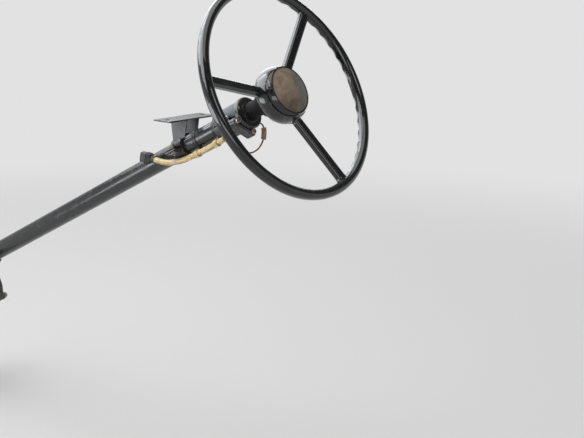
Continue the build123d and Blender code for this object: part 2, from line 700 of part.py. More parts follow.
def housing_chamber():
    """Chamber round the drop arm's shaft, blending up into the worm barrel."""
    foot = Circle(CHAMBER_RADIUS)
    wide = Pos(0, WORM_HEIGHT / 2) * Rectangle(2 * CHAMBER_RADIUS, WORM_HEIGHT)
    body = along_z(foot + wide, CHAMBER_INNER, CHAMBER_OUTER)
    outer_edges = body.faces().sort_by(Axis.Z)[-1].edges().filter_by(lambda edge: edge.center().Y < 1)
    return fillet(outer_edges, CHAMBER_ROUND)


def cone_ribs():
    """Cast ribs that stiffen the cone between the barrel and the neck."""
    rib = make_face(Polyline((CONE_RIB_FROM, 0), (CONE_RIB_FROM, BARREL_RADIUS),
                             (CONE_RIB_TO, NECK_RADIUS + CONE_RIB_END_RISE), (CONE_RIB_TO, 0), close=True))
    web = along_z(rib, -CONE_RIB_THICK / 2, CONE_RIB_THICK / 2)
    return [Pos(0, WORM_HEIGHT, -WORM_INBOARD) * Rot(angle, 0, 0) * web for angle in CONE_RIB_ANGLES]


def housing_flange():
    """Three-lug flange round the snout that goes through the frame."""
    plate = Circle(COLLAR_RADIUS)
    for x, y in frame_holes():
        lug = Pos(x, y) * Circle(FLANGE_LUG_RADIUS)
        plate += make_hull(lug.edges() + Circle(LUG_ROOT_RADIUS).edges())
    return along_z(plate, -FLANGE_THICK, 0)


def housing_ribs():
    """Two tapered webs from the lowest lug to the chamber, one each side of its bolt."""
    foot = -FRAME_PCD / 2 - RIB_THICK
    root = RIB_THICK - CHAMBER_RADIUS
    web = make_face(Polyline((foot, -FLANGE_THICK), (root, -FLANGE_THICK),
                             (root, -FLANGE_THICK - RIB_DROP), close=True))
    return [along_x(web, hand * RIB_SPREAD / 2 - RIB_THICK / 2, hand * RIB_SPREAD / 2 + RIB_THICK / 2)
            for hand in (-1, 1)]


def plug_boss(radius, low, high):
    """Round boss on top of the barrel, from one height over the worm axis to another."""
    boss = Pos(PLUG_BOSS_X, WORM_HEIGHT + (low + high) / 2, -WORM_INBOARD) * Rot(90, 0, 0)
    return boss * Cylinder(radius, high - low)


def gear_housing():
    """Cast housing: worm barrel, chamber, neck, snout and three-lug flange, with its bores."""
    body = barrel_bar(BARREL_RADIUS, BARREL_FRONT, BARREL_REAR) + housing_neck()
    body += housing_chamber()
    body += along_z(Circle(SNOUT_RADIUS), CHAMBER_OUTER, SNOUT_REACH)
    body += along_z(Circle(PILOT_RADIUS), CHAMBER_OUTER, PILOT_REACH)
    body += along_z(Circle(COLLAR_RADIUS), CHAMBER_OUTER, 0)
    body += along_z(cover_outline(), CHAMBER_INNER, CHAMBER_INNER + COVER_SEAT)
    body += along_x(end_outline(), BARREL_FRONT, BARREL_FRONT + END_SEAT)
    body += [housing_flange(), *housing_ribs(), *cone_ribs()]
    body += plug_boss(PLUG_BOSS_RADIUS, 0, BARREL_RADIUS + PLUG_BOSS_RISE)
    body -= barrel_bar(JACKET_RADIUS, JACKET_FOOT, NECK_END)
    body -= barrel_bar(SHAFT_RADIUS + RUNNING_GAP, SHAFT_BOTTOM - SHAFT_END_ROOM, JACKET_FOOT)
    slit = Pos(NECK_END - NECK_SLIT_LENGTH / 2, WORM_HEIGHT + NECK_RADIUS, -WORM_INBOARD)
    body -= slit * Box(NECK_SLIT_LENGTH, 2 * NECK_RADIUS, NECK_SLOT)
    body -= along_z(Circle(ARM_SHAFT_RADIUS + RUNNING_GAP), ARM_SHAFT_INNER - 1, SNOUT_REACH)
    body -= along_z(Circle(SEAL_RADIUS), SNOUT_REACH - SEAL_DEPTH, SNOUT_REACH)
    for x, y in frame_holes():
        body -= along_z(Pos(x, y) * Circle(FRAME_HOLE_RADIUS), -FLANGE_THICK - FRAME_BOLT_ROOM, 0)
    return body


def cover_outline():
    """Four-lobed outline of the side cover and its seat."""
    outline = Circle(COVER_RADIUS)
    for turn in range(4):
        outline += Rot(0, 0, 45 + 90 * turn) * Pos(COVER_LOBE_PCD / 2, 0) * Circle(COVER_LOBE_RADIUS)
    return outline


def side_cover():
    """Cover over the chamber, with four bolt lobes and the boss of the adjuster."""
    cover = along_z(cover_outline(), CHAMBER_INNER - COVER_THICK, CHAMBER_INNER)
    top = CHAMBER_INNER - COVER_THICK
    return cover + along_z(Circle(COVER_BOSS_RADIUS), top - COVER_BOSS_RISE, top)


def adjuster_cap():
    top = CHAMBER_INNER - COVER_THICK - COVER_BOSS_RISE
    return along_z(hexagon(ADJUSTER_ACROSS), top - ADJUSTER_RISE, top)


def end_outline():
    """Four-lobed outline of the end cover and its shims."""
    outline = Circle(END_COVER_RADIUS)
    for turn in range(4):
        outline += Rot(0, 0, 90 * turn) * Pos(END_LOBE_PCD / 2, 0) * Circle(END_LOBE_RADIUS)
    return Pos(WORM_HEIGHT, -WORM_INBOARD) * outline


def end_shims():
    return along_x(end_outline(), BARREL_FRONT - SHIM_THICK, BARREL_FRONT)


def end_cover():
    face = BARREL_FRONT - SHIM_THICK
    cover = along_x(end_outline(), face - END_COVER_THICK, face)
    top = face - END_COVER_THICK
    return cover + barrel_bar(END_BOSS_RADIUS, top - END_BOSS_RISE, top)


def horn_wire_gland():
    face = BARREL_FRONT - SHIM_THICK - END_COVER_THICK - END_BOSS_RISE
    nut = along_x(Pos(WORM_HEIGHT, -WORM_INBOARD) * hexagon(GLAND_ACROSS), face - GLAND_RISE, face)
    return nut - barrel_bar(GLAND_BORE, face - GLAND_RISE, face)


def filler_plug():
    """Hexagon plug with a collar, on its boss."""
    place = Pos(PLUG_BOSS_X, WORM_HEIGHT + BARREL_RADIUS + PLUG_BOSS_RISE, -WORM_INBOARD) * Rot(-90, 0, 0)
    collar = disc(PLUG_ACROSS / 2 + PLUG_COLLAR_EDGE, 0, PLUG_COLLAR_THICK)
    return place * (along_z(hexagon(PLUG_ACROSS), 0, PLUG_RISE) + collar)


def neck_clamp():
    """Split band that draws the housing's neck onto the jacket, its ears at the top."""
    outside = NECK_RADIUS + NECK_CLAMP_WALL
    band = Circle(outside)
    ear = NECK_SLOT + 2 * NECK_CLAMP_WALL
    reach = outside + NECK_CLAMP_EAR
    band += Pos(reach / 2, 0) * Rectangle(reach, ear)
    band -= Circle(NECK_RADIUS)
    band -= Pos(outside, 0) * Rectangle(2 * outside, NECK_SLOT)
    low = NECK_CLAMP_MIDDLE - NECK_CLAMP_LENGTH / 2
    return along_x(Pos(WORM_HEIGHT, -WORM_INBOARD) * band, low, low + NECK_CLAMP_LENGTH)


# Drop arm, in the part frame

def output_shaft():
    outer = ARM_INNER_Y + ARM_BOSS_DEPTH
    shaft = along_y(Circle(ARM_SHAFT_RADIUS), ARM_SHAFT_INNER, outer)
    return shaft + along_y(Circle(ARM_THREAD_RADIUS), outer, outer + ARM_NUT_THICK + ARM_THREAD_END)


def output_seal():
    return along_z(Circle(SEAL_RADIUS) - Circle(ARM_SHAFT_RADIUS + RUNNING_GAP),
                   SNOUT_REACH - SEAL_DEPTH, SNOUT_REACH)


def arm_middle_y():
    return ARM_INNER_Y + ARM_BOSS_DEPTH / 2


def arm_end_faces():
    """Inner and outer face of the arm's small end."""
    half = ARM_THICK / 2 + ARM_END_RISE
    return arm_middle_y() - half, arm_middle_y() + half


def drop_arm():
    """Forged arm with a boss at each end and a pocket in each face."""
    middle = arm_middle_y()
    big = Circle(ARM_BLADE_TOP)
    small = Pos(0, -ARM_LENGTH) * Circle(ARM_BLADE_FOOT)
    blade = make_hull(big.edges() + small.edges())
    arm = along_y(blade, middle - ARM_THICK / 2, middle + ARM_THICK / 2)
    pocket_top = Pos(0, -ARM_BOSS_RADIUS - ARM_POCKET_SPACE) * Circle(ARM_POCKET_TOP)
    pocket_foot = Pos(0, ARM_END_RADIUS + ARM_POCKET_SPACE - ARM_LENGTH) * Circle(ARM_POCKET_FOOT)
    pocket = make_hull(pocket_top.edges() + pocket_foot.edges())
    for side in (-1, 1):
        face = middle + side * ARM_THICK / 2
        arm -= along_y(pocket, face - ARM_POCKET_DEPTH, face + ARM_POCKET_DEPTH)
    arm += along_y(Circle(ARM_BOSS_RADIUS), ARM_INNER_Y, ARM_INNER_Y + ARM_BOSS_DEPTH)
    end = Pos(0, -ARM_LENGTH) * Circle(ARM_END_RADIUS)
    arm += along_y(end, *arm_end_faces())
    arm -= along_y(Circle(ARM_SHAFT_RADIUS), ARM_INNER_Y, ARM_INNER_Y + ARM_BOSS_DEPTH)
    return arm - along_y(Pos(0, -ARM_LENGTH) * Circle(STUD_RADIUS), ARM_INNER_Y, ARM_INNER_Y + ARM_BOSS_DEPTH)


def arm_nut():
    outer = ARM_INNER_Y + ARM_BOSS_DEPTH
    nut = hexagon(ARM_NUT_ACROSS) - Circle(ARM_THREAD_RADIUS)
    return along_y(nut, outer, outer + ARM_NUT_THICK)


def ball_stud():
    """Ball for the drag link, on a stud through the small end of the arm."""
    inner, outer = arm_end_faces()
    end = Pos(0, -ARM_LENGTH)
    stud = along_y(end * Circle(STUD_RADIUS), inner, outer)
    stud += along_y(end * Circle(STUD_RADIUS + STUD_COLLAR_EDGE), outer, outer + STUD_COLLAR)
    stud += along_y(end * Circle(STUD_NECK_RADIUS), outer, outer + BALL_OUTBOARD)
    stud += Pos(0, outer + BALL_OUTBOARD, -ARM_LENGTH) * Sphere(BALL_RADIUS)
    return stud + along_y(end * hexagon(STUD_NUT_ACROSS), inner - STUD_NUT_THICK, inner)


# Assembly: each node with its frame

def assembly():
    column_nodes = {
        "rim": rim(),
        "hub_bell": hub_bell(),
        "horn_button": horn_button(),
        "hub_boss": hub_boss(),
        "steering_shaft": steering_shaft(),
        "column_jacket": column_jacket(),
        "upper_bush": upper_bush(),
        "switch_drum": switch_drum(),
        "switch_screws": switch_screws(),
        "switch_sleeve": switch_sleeve(),
        "dash_bush": dash_bush(),
        "dash_clamp_bolts": dash_clamp_bolts(),
        "loom_sheath": loom_sheath(),
        "loom_clips": loom_clips(),
        "loom_plug": loom_plug(),
        "lead_sleeve": lead_sleeve(),
    }
    column_nodes.update({name: spoke(angle) for name, angle in SPOKES.items()})
    column_nodes.update({name: lead(name) for name in LEADS})
    gear_nodes = {
        "gear_housing": gear_housing(),
        "side_cover": side_cover(),
        "adjuster_cap": adjuster_cap(),
        "end_shims": end_shims(),
        "end_cover": end_cover(),
        "horn_wire_gland": horn_wire_gland(),
        "filler_plug": filler_plug(),
        "neck_clamp": neck_clamp(),
        "output_seal": output_seal(),
    }
    part_nodes = {
        "dash_bracket": dash_bracket(),
        "dash_strap": dash_strap(),
        "output_shaft": output_shaft(),
        "drop_arm": drop_arm(),
        "arm_nut": arm_nut(),
        "ball_stud": ball_stud(),
    }
    nodes = {name: COLUMN * shape for name, shape in column_nodes.items()}
    nodes.update({name: GEAR * shape for name, shape in gear_nodes.items()})
    nodes.update(part_nodes)
    return nodes


def main():
    os.makedirs("parts", exist_ok=True)
    for name, shape in assembly().items():
        export_step(shape, f"parts/{name}.step")
        print(name, len(shape.solids()), "solids", round(shape.volume / 1000, 1), "cm3")
    print("wheel centre", WHEEL_CENTRE, "dash plate", dash_plate_centre())


main()
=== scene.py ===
"""Looks of the steering wheel, column and steering gear of a light four-wheel-drive field car.

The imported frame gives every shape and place. Each sub-assembly below is a class that dresses its
solids and adds their small fasteners, and the studio lights them and looks in from the driver's door.
Sizes of the sub-assemblies are in millimetres and their angles in degrees, the studio is in metres.
"""
import json
import logging
import math
from dataclasses import dataclass, field
from enum import Enum
from typing import Optional, Sequence, Union

import bmesh
import bpy
from mathutils import Matrix, Vector


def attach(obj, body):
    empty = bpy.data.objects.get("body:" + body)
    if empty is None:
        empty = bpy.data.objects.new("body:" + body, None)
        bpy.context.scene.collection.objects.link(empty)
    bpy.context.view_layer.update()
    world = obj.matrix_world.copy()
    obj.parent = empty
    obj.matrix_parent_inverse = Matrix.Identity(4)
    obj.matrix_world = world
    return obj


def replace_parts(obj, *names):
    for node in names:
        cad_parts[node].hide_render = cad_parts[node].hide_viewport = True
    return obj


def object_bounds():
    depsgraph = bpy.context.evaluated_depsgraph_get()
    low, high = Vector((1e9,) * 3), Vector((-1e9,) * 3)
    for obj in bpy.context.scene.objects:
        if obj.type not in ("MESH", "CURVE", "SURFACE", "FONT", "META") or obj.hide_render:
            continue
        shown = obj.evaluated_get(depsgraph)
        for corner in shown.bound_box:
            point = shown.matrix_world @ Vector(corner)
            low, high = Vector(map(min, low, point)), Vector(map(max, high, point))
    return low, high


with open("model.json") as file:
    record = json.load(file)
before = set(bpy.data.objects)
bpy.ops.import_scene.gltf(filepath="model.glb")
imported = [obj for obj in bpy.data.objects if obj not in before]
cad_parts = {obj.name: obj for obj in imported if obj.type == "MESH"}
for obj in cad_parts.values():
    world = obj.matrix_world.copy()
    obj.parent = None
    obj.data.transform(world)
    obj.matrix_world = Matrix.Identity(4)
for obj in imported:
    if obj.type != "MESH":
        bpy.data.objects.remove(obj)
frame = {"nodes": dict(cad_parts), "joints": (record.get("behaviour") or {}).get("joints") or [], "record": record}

LOG = logging.getLogger("steering")
CAD_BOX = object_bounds()
MM = 0.001
UP = Vector((0, 0, 1))
# Radius where a turned profile starts, so that no two of its points fall together
ON_AXIS = 0.01
# Chamfer round the mouth of a nut's or a gland's bore
BORE_CHAMFER = 0.8
# How far a fastener's crown, dome or nose reaches down into its hexagon
SUNK = 1.0

Socket = bpy.types.NodeSocket
Colour = tuple[float, float, float]
Tint = Union[Colour, Socket]
Number = Union[float, Socket]
Point = tuple[float, float]
Triple = tuple[float, float, float]


def local_frame(origin: Vector, x_axis: Vector, z_axis: Vector) -> Matrix:
    """Place of a local frame, as a matrix from its millimetres to the part's metres.

    Args:
        origin: the local frame's zero, in metres.
        x_axis: its first direction.
        z_axis: its third direction.

    Returns:
        The matrix that takes a local point to the part's frame.
    """
    y_axis = z_axis.cross(x_axis)
    turn = Matrix((x_axis, y_axis, z_axis)).transposed().to_4x4()
    return Matrix.Translation(origin) @ turn @ Matrix.Scale(MM, 4)


STEERING = next(joint for joint in frame["joints"] if joint["name"] == "steering")
AXIS = Vector(STEERING["axis"])
WHEEL_CENTRE = Vector(STEERING["pos_m"])
DASH_BOLTS = next(mount for mount in frame["record"]["mounts"] if mount["name"] == "dash_bolts")
DASH_TOP = Vector(DASH_BOLTS["pos_m"])

# Column frame: x to the driver's right, y up in the wheel's plane, z to the driver, zero in the rim
COLUMN_FRAME = local_frame(WHEEL_CENTRE, Vector((0, -1, 0)), AXIS)
# Gear frame: x along the column to the driver, y square to it and up, z out to the car's frame
GEAR_FRAME = local_frame(Vector(), AXIS, Vector((0, 1, 0)))
# Arm frame: x to the rear of the car, y up, z out along the drop arm's shaft
ARM_FRAME = local_frame(Vector(), Vector((-1, 0, 0)), Vector((0, 1, 0)))


class Body(Enum):
    """Bodies of the frame that a piece can ride on."""

    COLUMN = "column"
    WHEEL = "wheel"
    ARM = "arm"


class NodeSheet:
    """Node tree of one material, with short calls for the nodes that the finishes share."""

    def __init__(self, name: str) -> None:
        """Starts a material that holds one shader.

        Args:
            name: the material's name.
        """
        self.material = bpy.data.materials.new(name)
        self.material.use_nodes = True
        self.tree = self.material.node_tree
        self.tree.nodes.clear()
        self.surface = self.tree.nodes.new("ShaderNodeBsdfPrincipled")
        self.output = self.tree.nodes.new("ShaderNodeOutputMaterial")
        self.tree.links.new(self.surface.outputs["BSDF"], self.output.inputs["Surface"])

    def put(self, socket: Socket, value: Union[Tint, Number]) -> None:
        """Links a socket to another, or writes a plain value on it.

        Args:
            socket: the input to fill.
            value: an output socket, a number, a vector or a colour.
        """
        if isinstance(value, bpy.types.NodeSocket):
            self.tree.links.new(value, socket)
        elif socket.type == "RGBA":
            socket.default_value = (*value, 1.0)
        else:
            socket.default_value = value

    def node(self, kind: str, inputs: Optional[dict] = None, **settings) -> bpy.types.Node:
        """Adds a node.

        Args:
            kind: the node's type.
            inputs: values or sockets by the input's name or number.
            settings: the node's own options.

        Returns:
            The new node.
        """
        made = self.tree.nodes.new(kind)
        for key, value in settings.items():
            setattr(made, key, value)
        for key, value in (inputs or {}).items():
            self.put(made.inputs[key], value)
        return made

    def place(self, local: Matrix) -> Socket:
        """Point on the surface, which stays with its piece when that moves.

        Args:
            local: the local frame that it is given in.

        Returns:
            The point, in millimetres.
        """
        inverse = local.inverted()
        turn = inverse.to_3x3().normalized().to_euler()
        scale = inverse.to_scale()
        here = self.node("ShaderNodeTexCoord").outputs["Object"]
        return self.node("ShaderNodeMapping", {"Vector": here, "Location": inverse.translation,
                                               "Rotation": turn, "Scale": scale}).outputs[0]

    def stretched(self, place: Socket, scale: Triple) -> Socket:
        """Place with each of its directions scaled."""
        return self.node("ShaderNodeVectorMath", {0: place, 1: scale}, operation="MULTIPLY").outputs[0]

    def parts(self, vector: Socket) -> tuple[Socket, Socket, Socket]:
        """The three numbers of a vector."""
        split = self.node("ShaderNodeSeparateXYZ", {0: vector})
        return split.outputs[0], split.outputs[1], split.outputs[2]

    def sum(self, operation: str, first: Number, second: Number = 0.0, clamp: bool = False) -> Socket:
        """One step of arithmetic.

        Args:
            operation: its name.
            first: the first number.
            second: the second number.
            clamp: whether the result is kept from 0 to 1.

        Returns:
            The result.
        """
        return self.node("ShaderNodeMath", {0: first, 1: second}, operation=operation,
                         use_clamp=clamp).outputs[0]

    def times(self, *factors: Number) -> Socket:
        """Multiplies numbers.

        Args:
            factors: two or more numbers.

        Returns:
            Their product.
        """
        found = factors[0]
        for factor in factors[1:]:
            found = self.sum("MULTIPLY", found, factor)
        return found

    def distance(self, across: Socket, up: Socket) -> Socket:
        """Length of a flat vector from its two numbers."""
        return self.sum("SQRT", self.sum("ADD", self.times(across, across), self.times(up, up)))

    def noise(self, place: Socket, pitch: float, detail: float = 4.0, rough: float = 0.55,
              bend: float = 0.0) -> Socket:
        """Cloudy noise.

        Args:
            place: where, in millimetres.
            pitch: about how far apart its patches are, in millimetres.
            detail: how many finer levels it has.
            rough: how strong the finer levels are.
            bend: how far it is bent out of place.

        Returns:
            A number from about 0.25 to 0.75.
        """
        return self.node("ShaderNodeTexNoise", {"Vector": place, "Scale": 1.0 / pitch, "Detail": detail,
                                                "Roughness": rough, "Distortion": bend}).outputs[0]

    def patches(self, place: Socket, pitch: float, low: float, high: float, detail: float = 4.0,
                rough: float = 0.55, bend: float = 0.0) -> Socket:
        """Soft-edged patches, cut out of cloudy noise.

        Args:
            place: where, in millimetres.
            pitch: about how far apart they are, in millimetres.
            low: the noise at which a patch starts.
            high: the noise from which it covers fully.
            detail: how many finer levels the noise has.
            rough: how strong the finer levels are.
            bend: how far the noise is bent out of place.

        Returns:
            The mask, from 0 to 1.
        """
        return self.ramped(self.noise(place, pitch, detail, rough, bend), low, high)

    def cells(self, place: Socket, pitch: float, feature: str = "F1", jitter: float = 1.0) -> Socket:
        """Distance in a pattern of scattered cells.

        Args:
            place: where, in millimetres.
            pitch: about how far apart the cells are, in millimetres.
            feature: which distance it is.
            jitter: how uneven the cells are.

        Returns:
            The distance, as a share of the pitch.
        """
        inputs = {"Vector": place, "Scale": 1.0 / pitch, "Randomness": jitter}
        return self.node("ShaderNodeTexVoronoi", inputs, feature=feature).outputs["Distance"]

    def scratches(self, place: Socket, width: float = 0.5) -> Socket:
        """Fine straight scratches that run two ways, where hands and sleeves rub.

        Args:
            place: where, in millimetres.
            width: about how wide a scratch is, in millimetres.

        Returns:
            The mask, from 0 to 1.
        """
        one_way = self.noise(self.stretched(place, (0.06, 1.0, 0.4)), width, detail=1.0)
        other_way = self.noise(self.stretched(place, (0.8, 0.10, 0.5)), width, detail=1.0)
        lines = self.sum("MAXIMUM", self.ramped(one_way, 0.68, 0.76), self.ramped(other_way, 0.69, 0.77))
        return self.times(lines, self.patches(place, 13.0, 0.46, 0.62, detail=3.0))

    def ramped(self, value: Number, low: float, high: float, bottom: float = 0.0,
               top: float = 1.0) -> Socket:
        """Value spread smoothly from one range onto another.

        Args:
            value: what is read.
            low: where the range starts.
            high: where the range ends.
            bottom: the result at low.
            top: the result at high.

        Returns:
            The result, from bottom to top.
        """
        return self.node("ShaderNodeMapRange", {0: value, 1: low, 2: high, 3: bottom, 4: top},
                         interpolation_type="SMOOTHSTEP").outputs[0]

    def blend(self, share: Number, first: Tint, second: Tint) -> Socket:
        """Colour between two colours."""
        mix = self.node("ShaderNodeMix", {0: share, 6: first, 7: second}, data_type="RGBA")
        return mix.outputs[2]

    def between(self, share: Number, first: Number, second: Number) -> Socket:
        """Number between two numbers."""
        return self.node("ShaderNodeMix", {0: share, 2: first, 3: second}).outputs[0]

    def dot(self, first: Socket, second: Union[Socket, Vector]) -> Socket:
        """How much of one vector lies along another."""
        return self.node("ShaderNodeVectorMath", {0: first, 1: second},
                         operation="DOT_PRODUCT").outputs["Value"]

    def facing(self, direction: Vector) -> Socket:
        """How far the surface faces a direction that turns with its body, from -1 to 1."""
        return self.dot(self.node("ShaderNodeTexCoord").outputs["Normal"], direction)

    def topside(self, low: float = 0.0, high: float = 1.0) -> Socket:
        """Where dust settles: from 0 where the surface faces up by low to 1 where it does by high."""
        return self.ramped(self.facing(UP), low, high)

    def softened(self, radius: float) -> Socket:
        """Surface direction with every edge rounded by a radius in millimetres."""
        return self.node("ShaderNodeBevel", {"Radius": radius * MM}, samples=4).outputs[0]

    def edges(self, radius: float) -> Socket:
        """Nearness of an edge, from 0 on a flat to 1 on the edge.

        Args:
            radius: how far from the edge it reaches, in millimetres.

        Returns:
            The nearness.
        """
        flat = self.node("ShaderNodeNewGeometry").outputs["Normal"]
        return self.ramped(self.dot(self.softened(radius), flat), 0.985, 0.8)

    def corners(self, reach: float) -> Socket:
        """Depth of an inner corner, from 0 in the open to 1 in the corner.

        Args:
            reach: how far it looks round, in millimetres.

        Returns:
            The depth.
        """
        shade = self.node("ShaderNodeAmbientOcclusion", {"Distance": reach * MM}, samples=4)
        return self.ramped(shade.outputs["AO"], 0.92, 0.45)


class Coats:
    """Layers of a finish from the bottom up, and the relief that they share."""

    def __init__(self, sheet: NodeSheet, colour: Tint, rough: Number, metal: Number = 0.0) -> None:
        """Starts with the lowest layer.

        Args:
            sheet: the material's nodes.
            colour: the layer's colour.
            rough: its roughness.
            metal: how metallic it is.
        """
        self.sheet = sheet
        self.colour = colour
        self.rough = rough
        self.metal = metal
        self.relief: Optional[Socket] = None

    def over(self, mask: Number, colour: Tint, rough: Optional[Number] = None,
             metal: Optional[Number] = None, share: float = 1.0) -> "Coats":
        """Lays a layer over the rest.

        Args:
            mask: where it lies, from 0 to 1.
            colour: its colour.
            rough: its roughness, or None to keep what is under it.
            metal: how metallic it is, or None to keep what is under it.
            share: how much it covers where the mask is 1.

        Returns:
            The same layers.
        """
        if share != 1.0:
            mask = self.sheet.times(mask, share)
        self.colour = self.sheet.blend(mask, self.colour, colour)
        if rough is not None:
            self.rough = self.sheet.between(mask, self.rough, rough)
        if metal is not None:
            self.metal = self.sheet.between(mask, self.metal, metal)
        return self

    def rounded(self, radius: float) -> "Coats":
        """Rounds every edge a little, by a radius in millimetres."""
        self.relief = self.sheet.softened(radius)
        return self

    def bumped(self, height: Socket, depth: float) -> "Coats":
        """Adds relief.

        Args:
            height: its height, from 0 to 1.
            depth: how high 1 is, in millimetres.

        Returns:
            The same layers.
        """
        inputs = {"Height": height, "Distance": depth * MM, "Strength": 1.0}
        if self.relief is not None:
            inputs["Normal"] = self.relief
        self.relief = self.sheet.node("ShaderNodeBump", inputs).outputs[0]
        return self

    def close(self, **constants: float) -> None:
        """Writes the layers on the shader.

        Args:
            constants: plain values for other inputs, with underscores for blanks.
        """
        shader = self.sheet.surface.inputs
        self.sheet.put(shader["Base Color"], self.colour)
        self.sheet.put(shader["Roughness"], self.rough)
        self.sheet.put(shader["Metallic"], self.metal)
        if self.relief is not None:
            self.sheet.put(shader["Normal"], self.relief)
        for name, value in constants.items():
            shader[name.replace("_", " ")].default_value = value


DUST: Colour = (0.150, 0.128, 0.100)
RUST: Colour = (0.155, 0.055, 0.020)
RUST_BRIGHT: Colour = (0.26, 0.105, 0.035)
OLD_GREASE: Colour = (0.045, 0.034, 0.024)
VARNISH_DIRT: Colour = (0.09, 0.05, 0.022)


@dataclass(frozen=True)
class Finish:
    """Base of the finishes: a name, the record's slot, and one material made once."""

    name: str
    slot: str

    def material(self) -> bpy.types.Material:
        """The finish as a material, made at its first use.

        Returns:
            The material, the same at every use.
        """
        found = bpy.data.materials.get(self.name)
        if found is None:
            sheet = NodeSheet(self.name)
            self.draw(sheet)
            found = sheet.material
        return found

    def draw(self, sheet: NodeSheet) -> None:
        """Draws the finish with nodes."""
        raise NotImplementedError(self.name)


@dataclass(frozen=True)
class Moulding(Finish):
    """Hard black moulding with a deep gloss, hazed by hands, with dust in its corners."""

    colour: Colour = (0.0085, 0.0090, 0.0100)
    haze_colour: Colour = (0.024, 0.024, 0.024)
    smear_colour: Colour = (0.074, 0.068, 0.060)
    scuff_colour: Colour = (0.075, 0.068, 0.058)
    scratch_colour: Colour = (0.060, 0.058, 0.055)
    edge_colour: Colour = (0.055, 0.053, 0.05)
    gloss: float = 0.13
    haze: float = 0.34
    hazed: float = 0.3
    smeared: float = 0.1
    scratched: float = 0.4
    dust: float = 0.35

    def draw(self, sheet: NodeSheet) -> None:
        """Draws gloss, haze, smears, scuffs, scratches and dust.

        Args:
            sheet: the material's nodes.
        """
        place = sheet.place(COLUMN_FRAME)
        haze = sheet.patches(place, 38.0, 0.44, 0.66, detail=5.0, rough=0.6, bend=0.4)
        smears = sheet.patches(place, 24.0, 0.50, 0.64, detail=5.0, rough=0.6, bend=1.1)
        scuffs = sheet.patches(place, 14.0, 0.62, 0.74, detail=8.0, rough=0.68)
        scratches = sheet.scratches(place)
        settled = sheet.times(sheet.topside(0.35), sheet.patches(place, 11.0, 0.4, 0.7, detail=6.0))
        coats = Coats(sheet, self.colour, self.gloss)
        coats.over(haze, self.haze_colour, self.haze, share=self.hazed)
        coats.over(smears, self.smear_colour, 0.55, share=self.smeared)
        coats.over(scuffs, self.scuff_colour, 0.5, share=0.5 * self.hazed)
        coats.over(scratches, self.scratch_colour, 0.42, share=self.scratched)
        coats.over(sheet.edges(1.2), self.edge_colour, 0.3, share=0.25)
        coats.over(settled, DUST, 0.75, share=0.4 * self.dust)
        coats.over(sheet.corners(7.0), DUST, 0.8, share=self.dust)
        coats.rounded(0.5)
        coats.bumped(sheet.noise(place, 16.0, detail=2.0), 0.05)
        coats.bumped(sheet.noise(place, 1.3, detail=3.0), 0.002)
        coats.bumped(scratches, -0.010)
        coats.close(Coat_Weight=1.0, Coat_Roughness=0.06, Coat_IOR=1.45, Specular_IOR_Level=0.2)


@dataclass(frozen=True)
class RubbedCap(Finish):
    """Matt grey-brown cap: aged mottling, rubbed smoother middle, dirty edge, painted shade and painted sheen."""

    colour: Colour = (0.205, 0.150, 0.104)
    pale: Colour = (0.390, 0.305, 0.222)
    # Colour of the painted sheen, a grey reflection laid on the cap's right side
    painted_sheen: Colour = (0.160, 0.160, 0.157)
    dark: Colour = (0.078, 0.052, 0.034)
    # Colour of the painted shade, laid over all of the cap but its upper left
    shade: Colour = (0.072, 0.055, 0.042)
    edge_dirt: Colour = (0.05, 0.042, 0.034)
    radius: float = 44.5
    edge_width: float = 3.0

    def draw(self, sheet: NodeSheet) -> None:
        """Draws painted shade, mottling, a painted sheen on the right, speckles and the dirty edge.

        Args:
            sheet: the material's nodes.
        """
        place = sheet.place(COLUMN_FRAME)
        right, up, _ = sheet.parts(place)
        out = sheet.distance(right, up)
        # Painted shade: light at the upper left, fully shaded towards the lower right
        painted_shade_mask = sheet.ramped(sheet.sum("SUBTRACT", right, up), -36.0, 14.0)
        mottled = sheet.patches(place, 12.0, 0.38, 0.70, detail=8.0, rough=0.74, bend=0.25)
        speckle = sheet.ramped(sheet.cells(place, 2.6), 0.16, 0.05)
        edge = sheet.ramped(out, self.radius - self.edge_width, self.radius)
        coats = Coats(sheet, self.colour, 0.62)
        # Lays the painted shade
        coats.over(painted_shade_mask, self.shade, share=0.9)
        # Pale mottles, denser where the cap is painted as lit: real mottling, with painted light in how it spreads
        coats.over(sheet.times(mottled, sheet.between(painted_shade_mask, 0.9, 0.33)), self.pale)
        # Painted sheen: a grey reflection painted on, growing towards the right
        coats.over(sheet.ramped(right, 2.0, 40.0), self.painted_sheen, 0.46, share=0.85)
        coats.over(sheet.patches(place, 6.0, 0.50, 0.72, detail=7.0, rough=0.72, bend=0.2), self.dark, 0.7,
                   share=0.6)
        coats.over(sheet.times(speckle, sheet.patches(place, 9.0, 0.46, 0.6)), self.dark, share=0.6)
        coats.over(sheet.ramped(out, 30.0, 6.0), self.pale, 0.42, share=0.35)
        coats.over(edge, self.edge_dirt, 0.75, share=0.8)
        coats.bumped(sheet.noise(place, 22.0, detail=3.0), 0.12)
        coats.bumped(sheet.noise(place, 0.8, detail=4.0), 0.03)
        coats.bumped(speckle, -0.03)
        coats.close(Specular_IOR_Level=0.4)


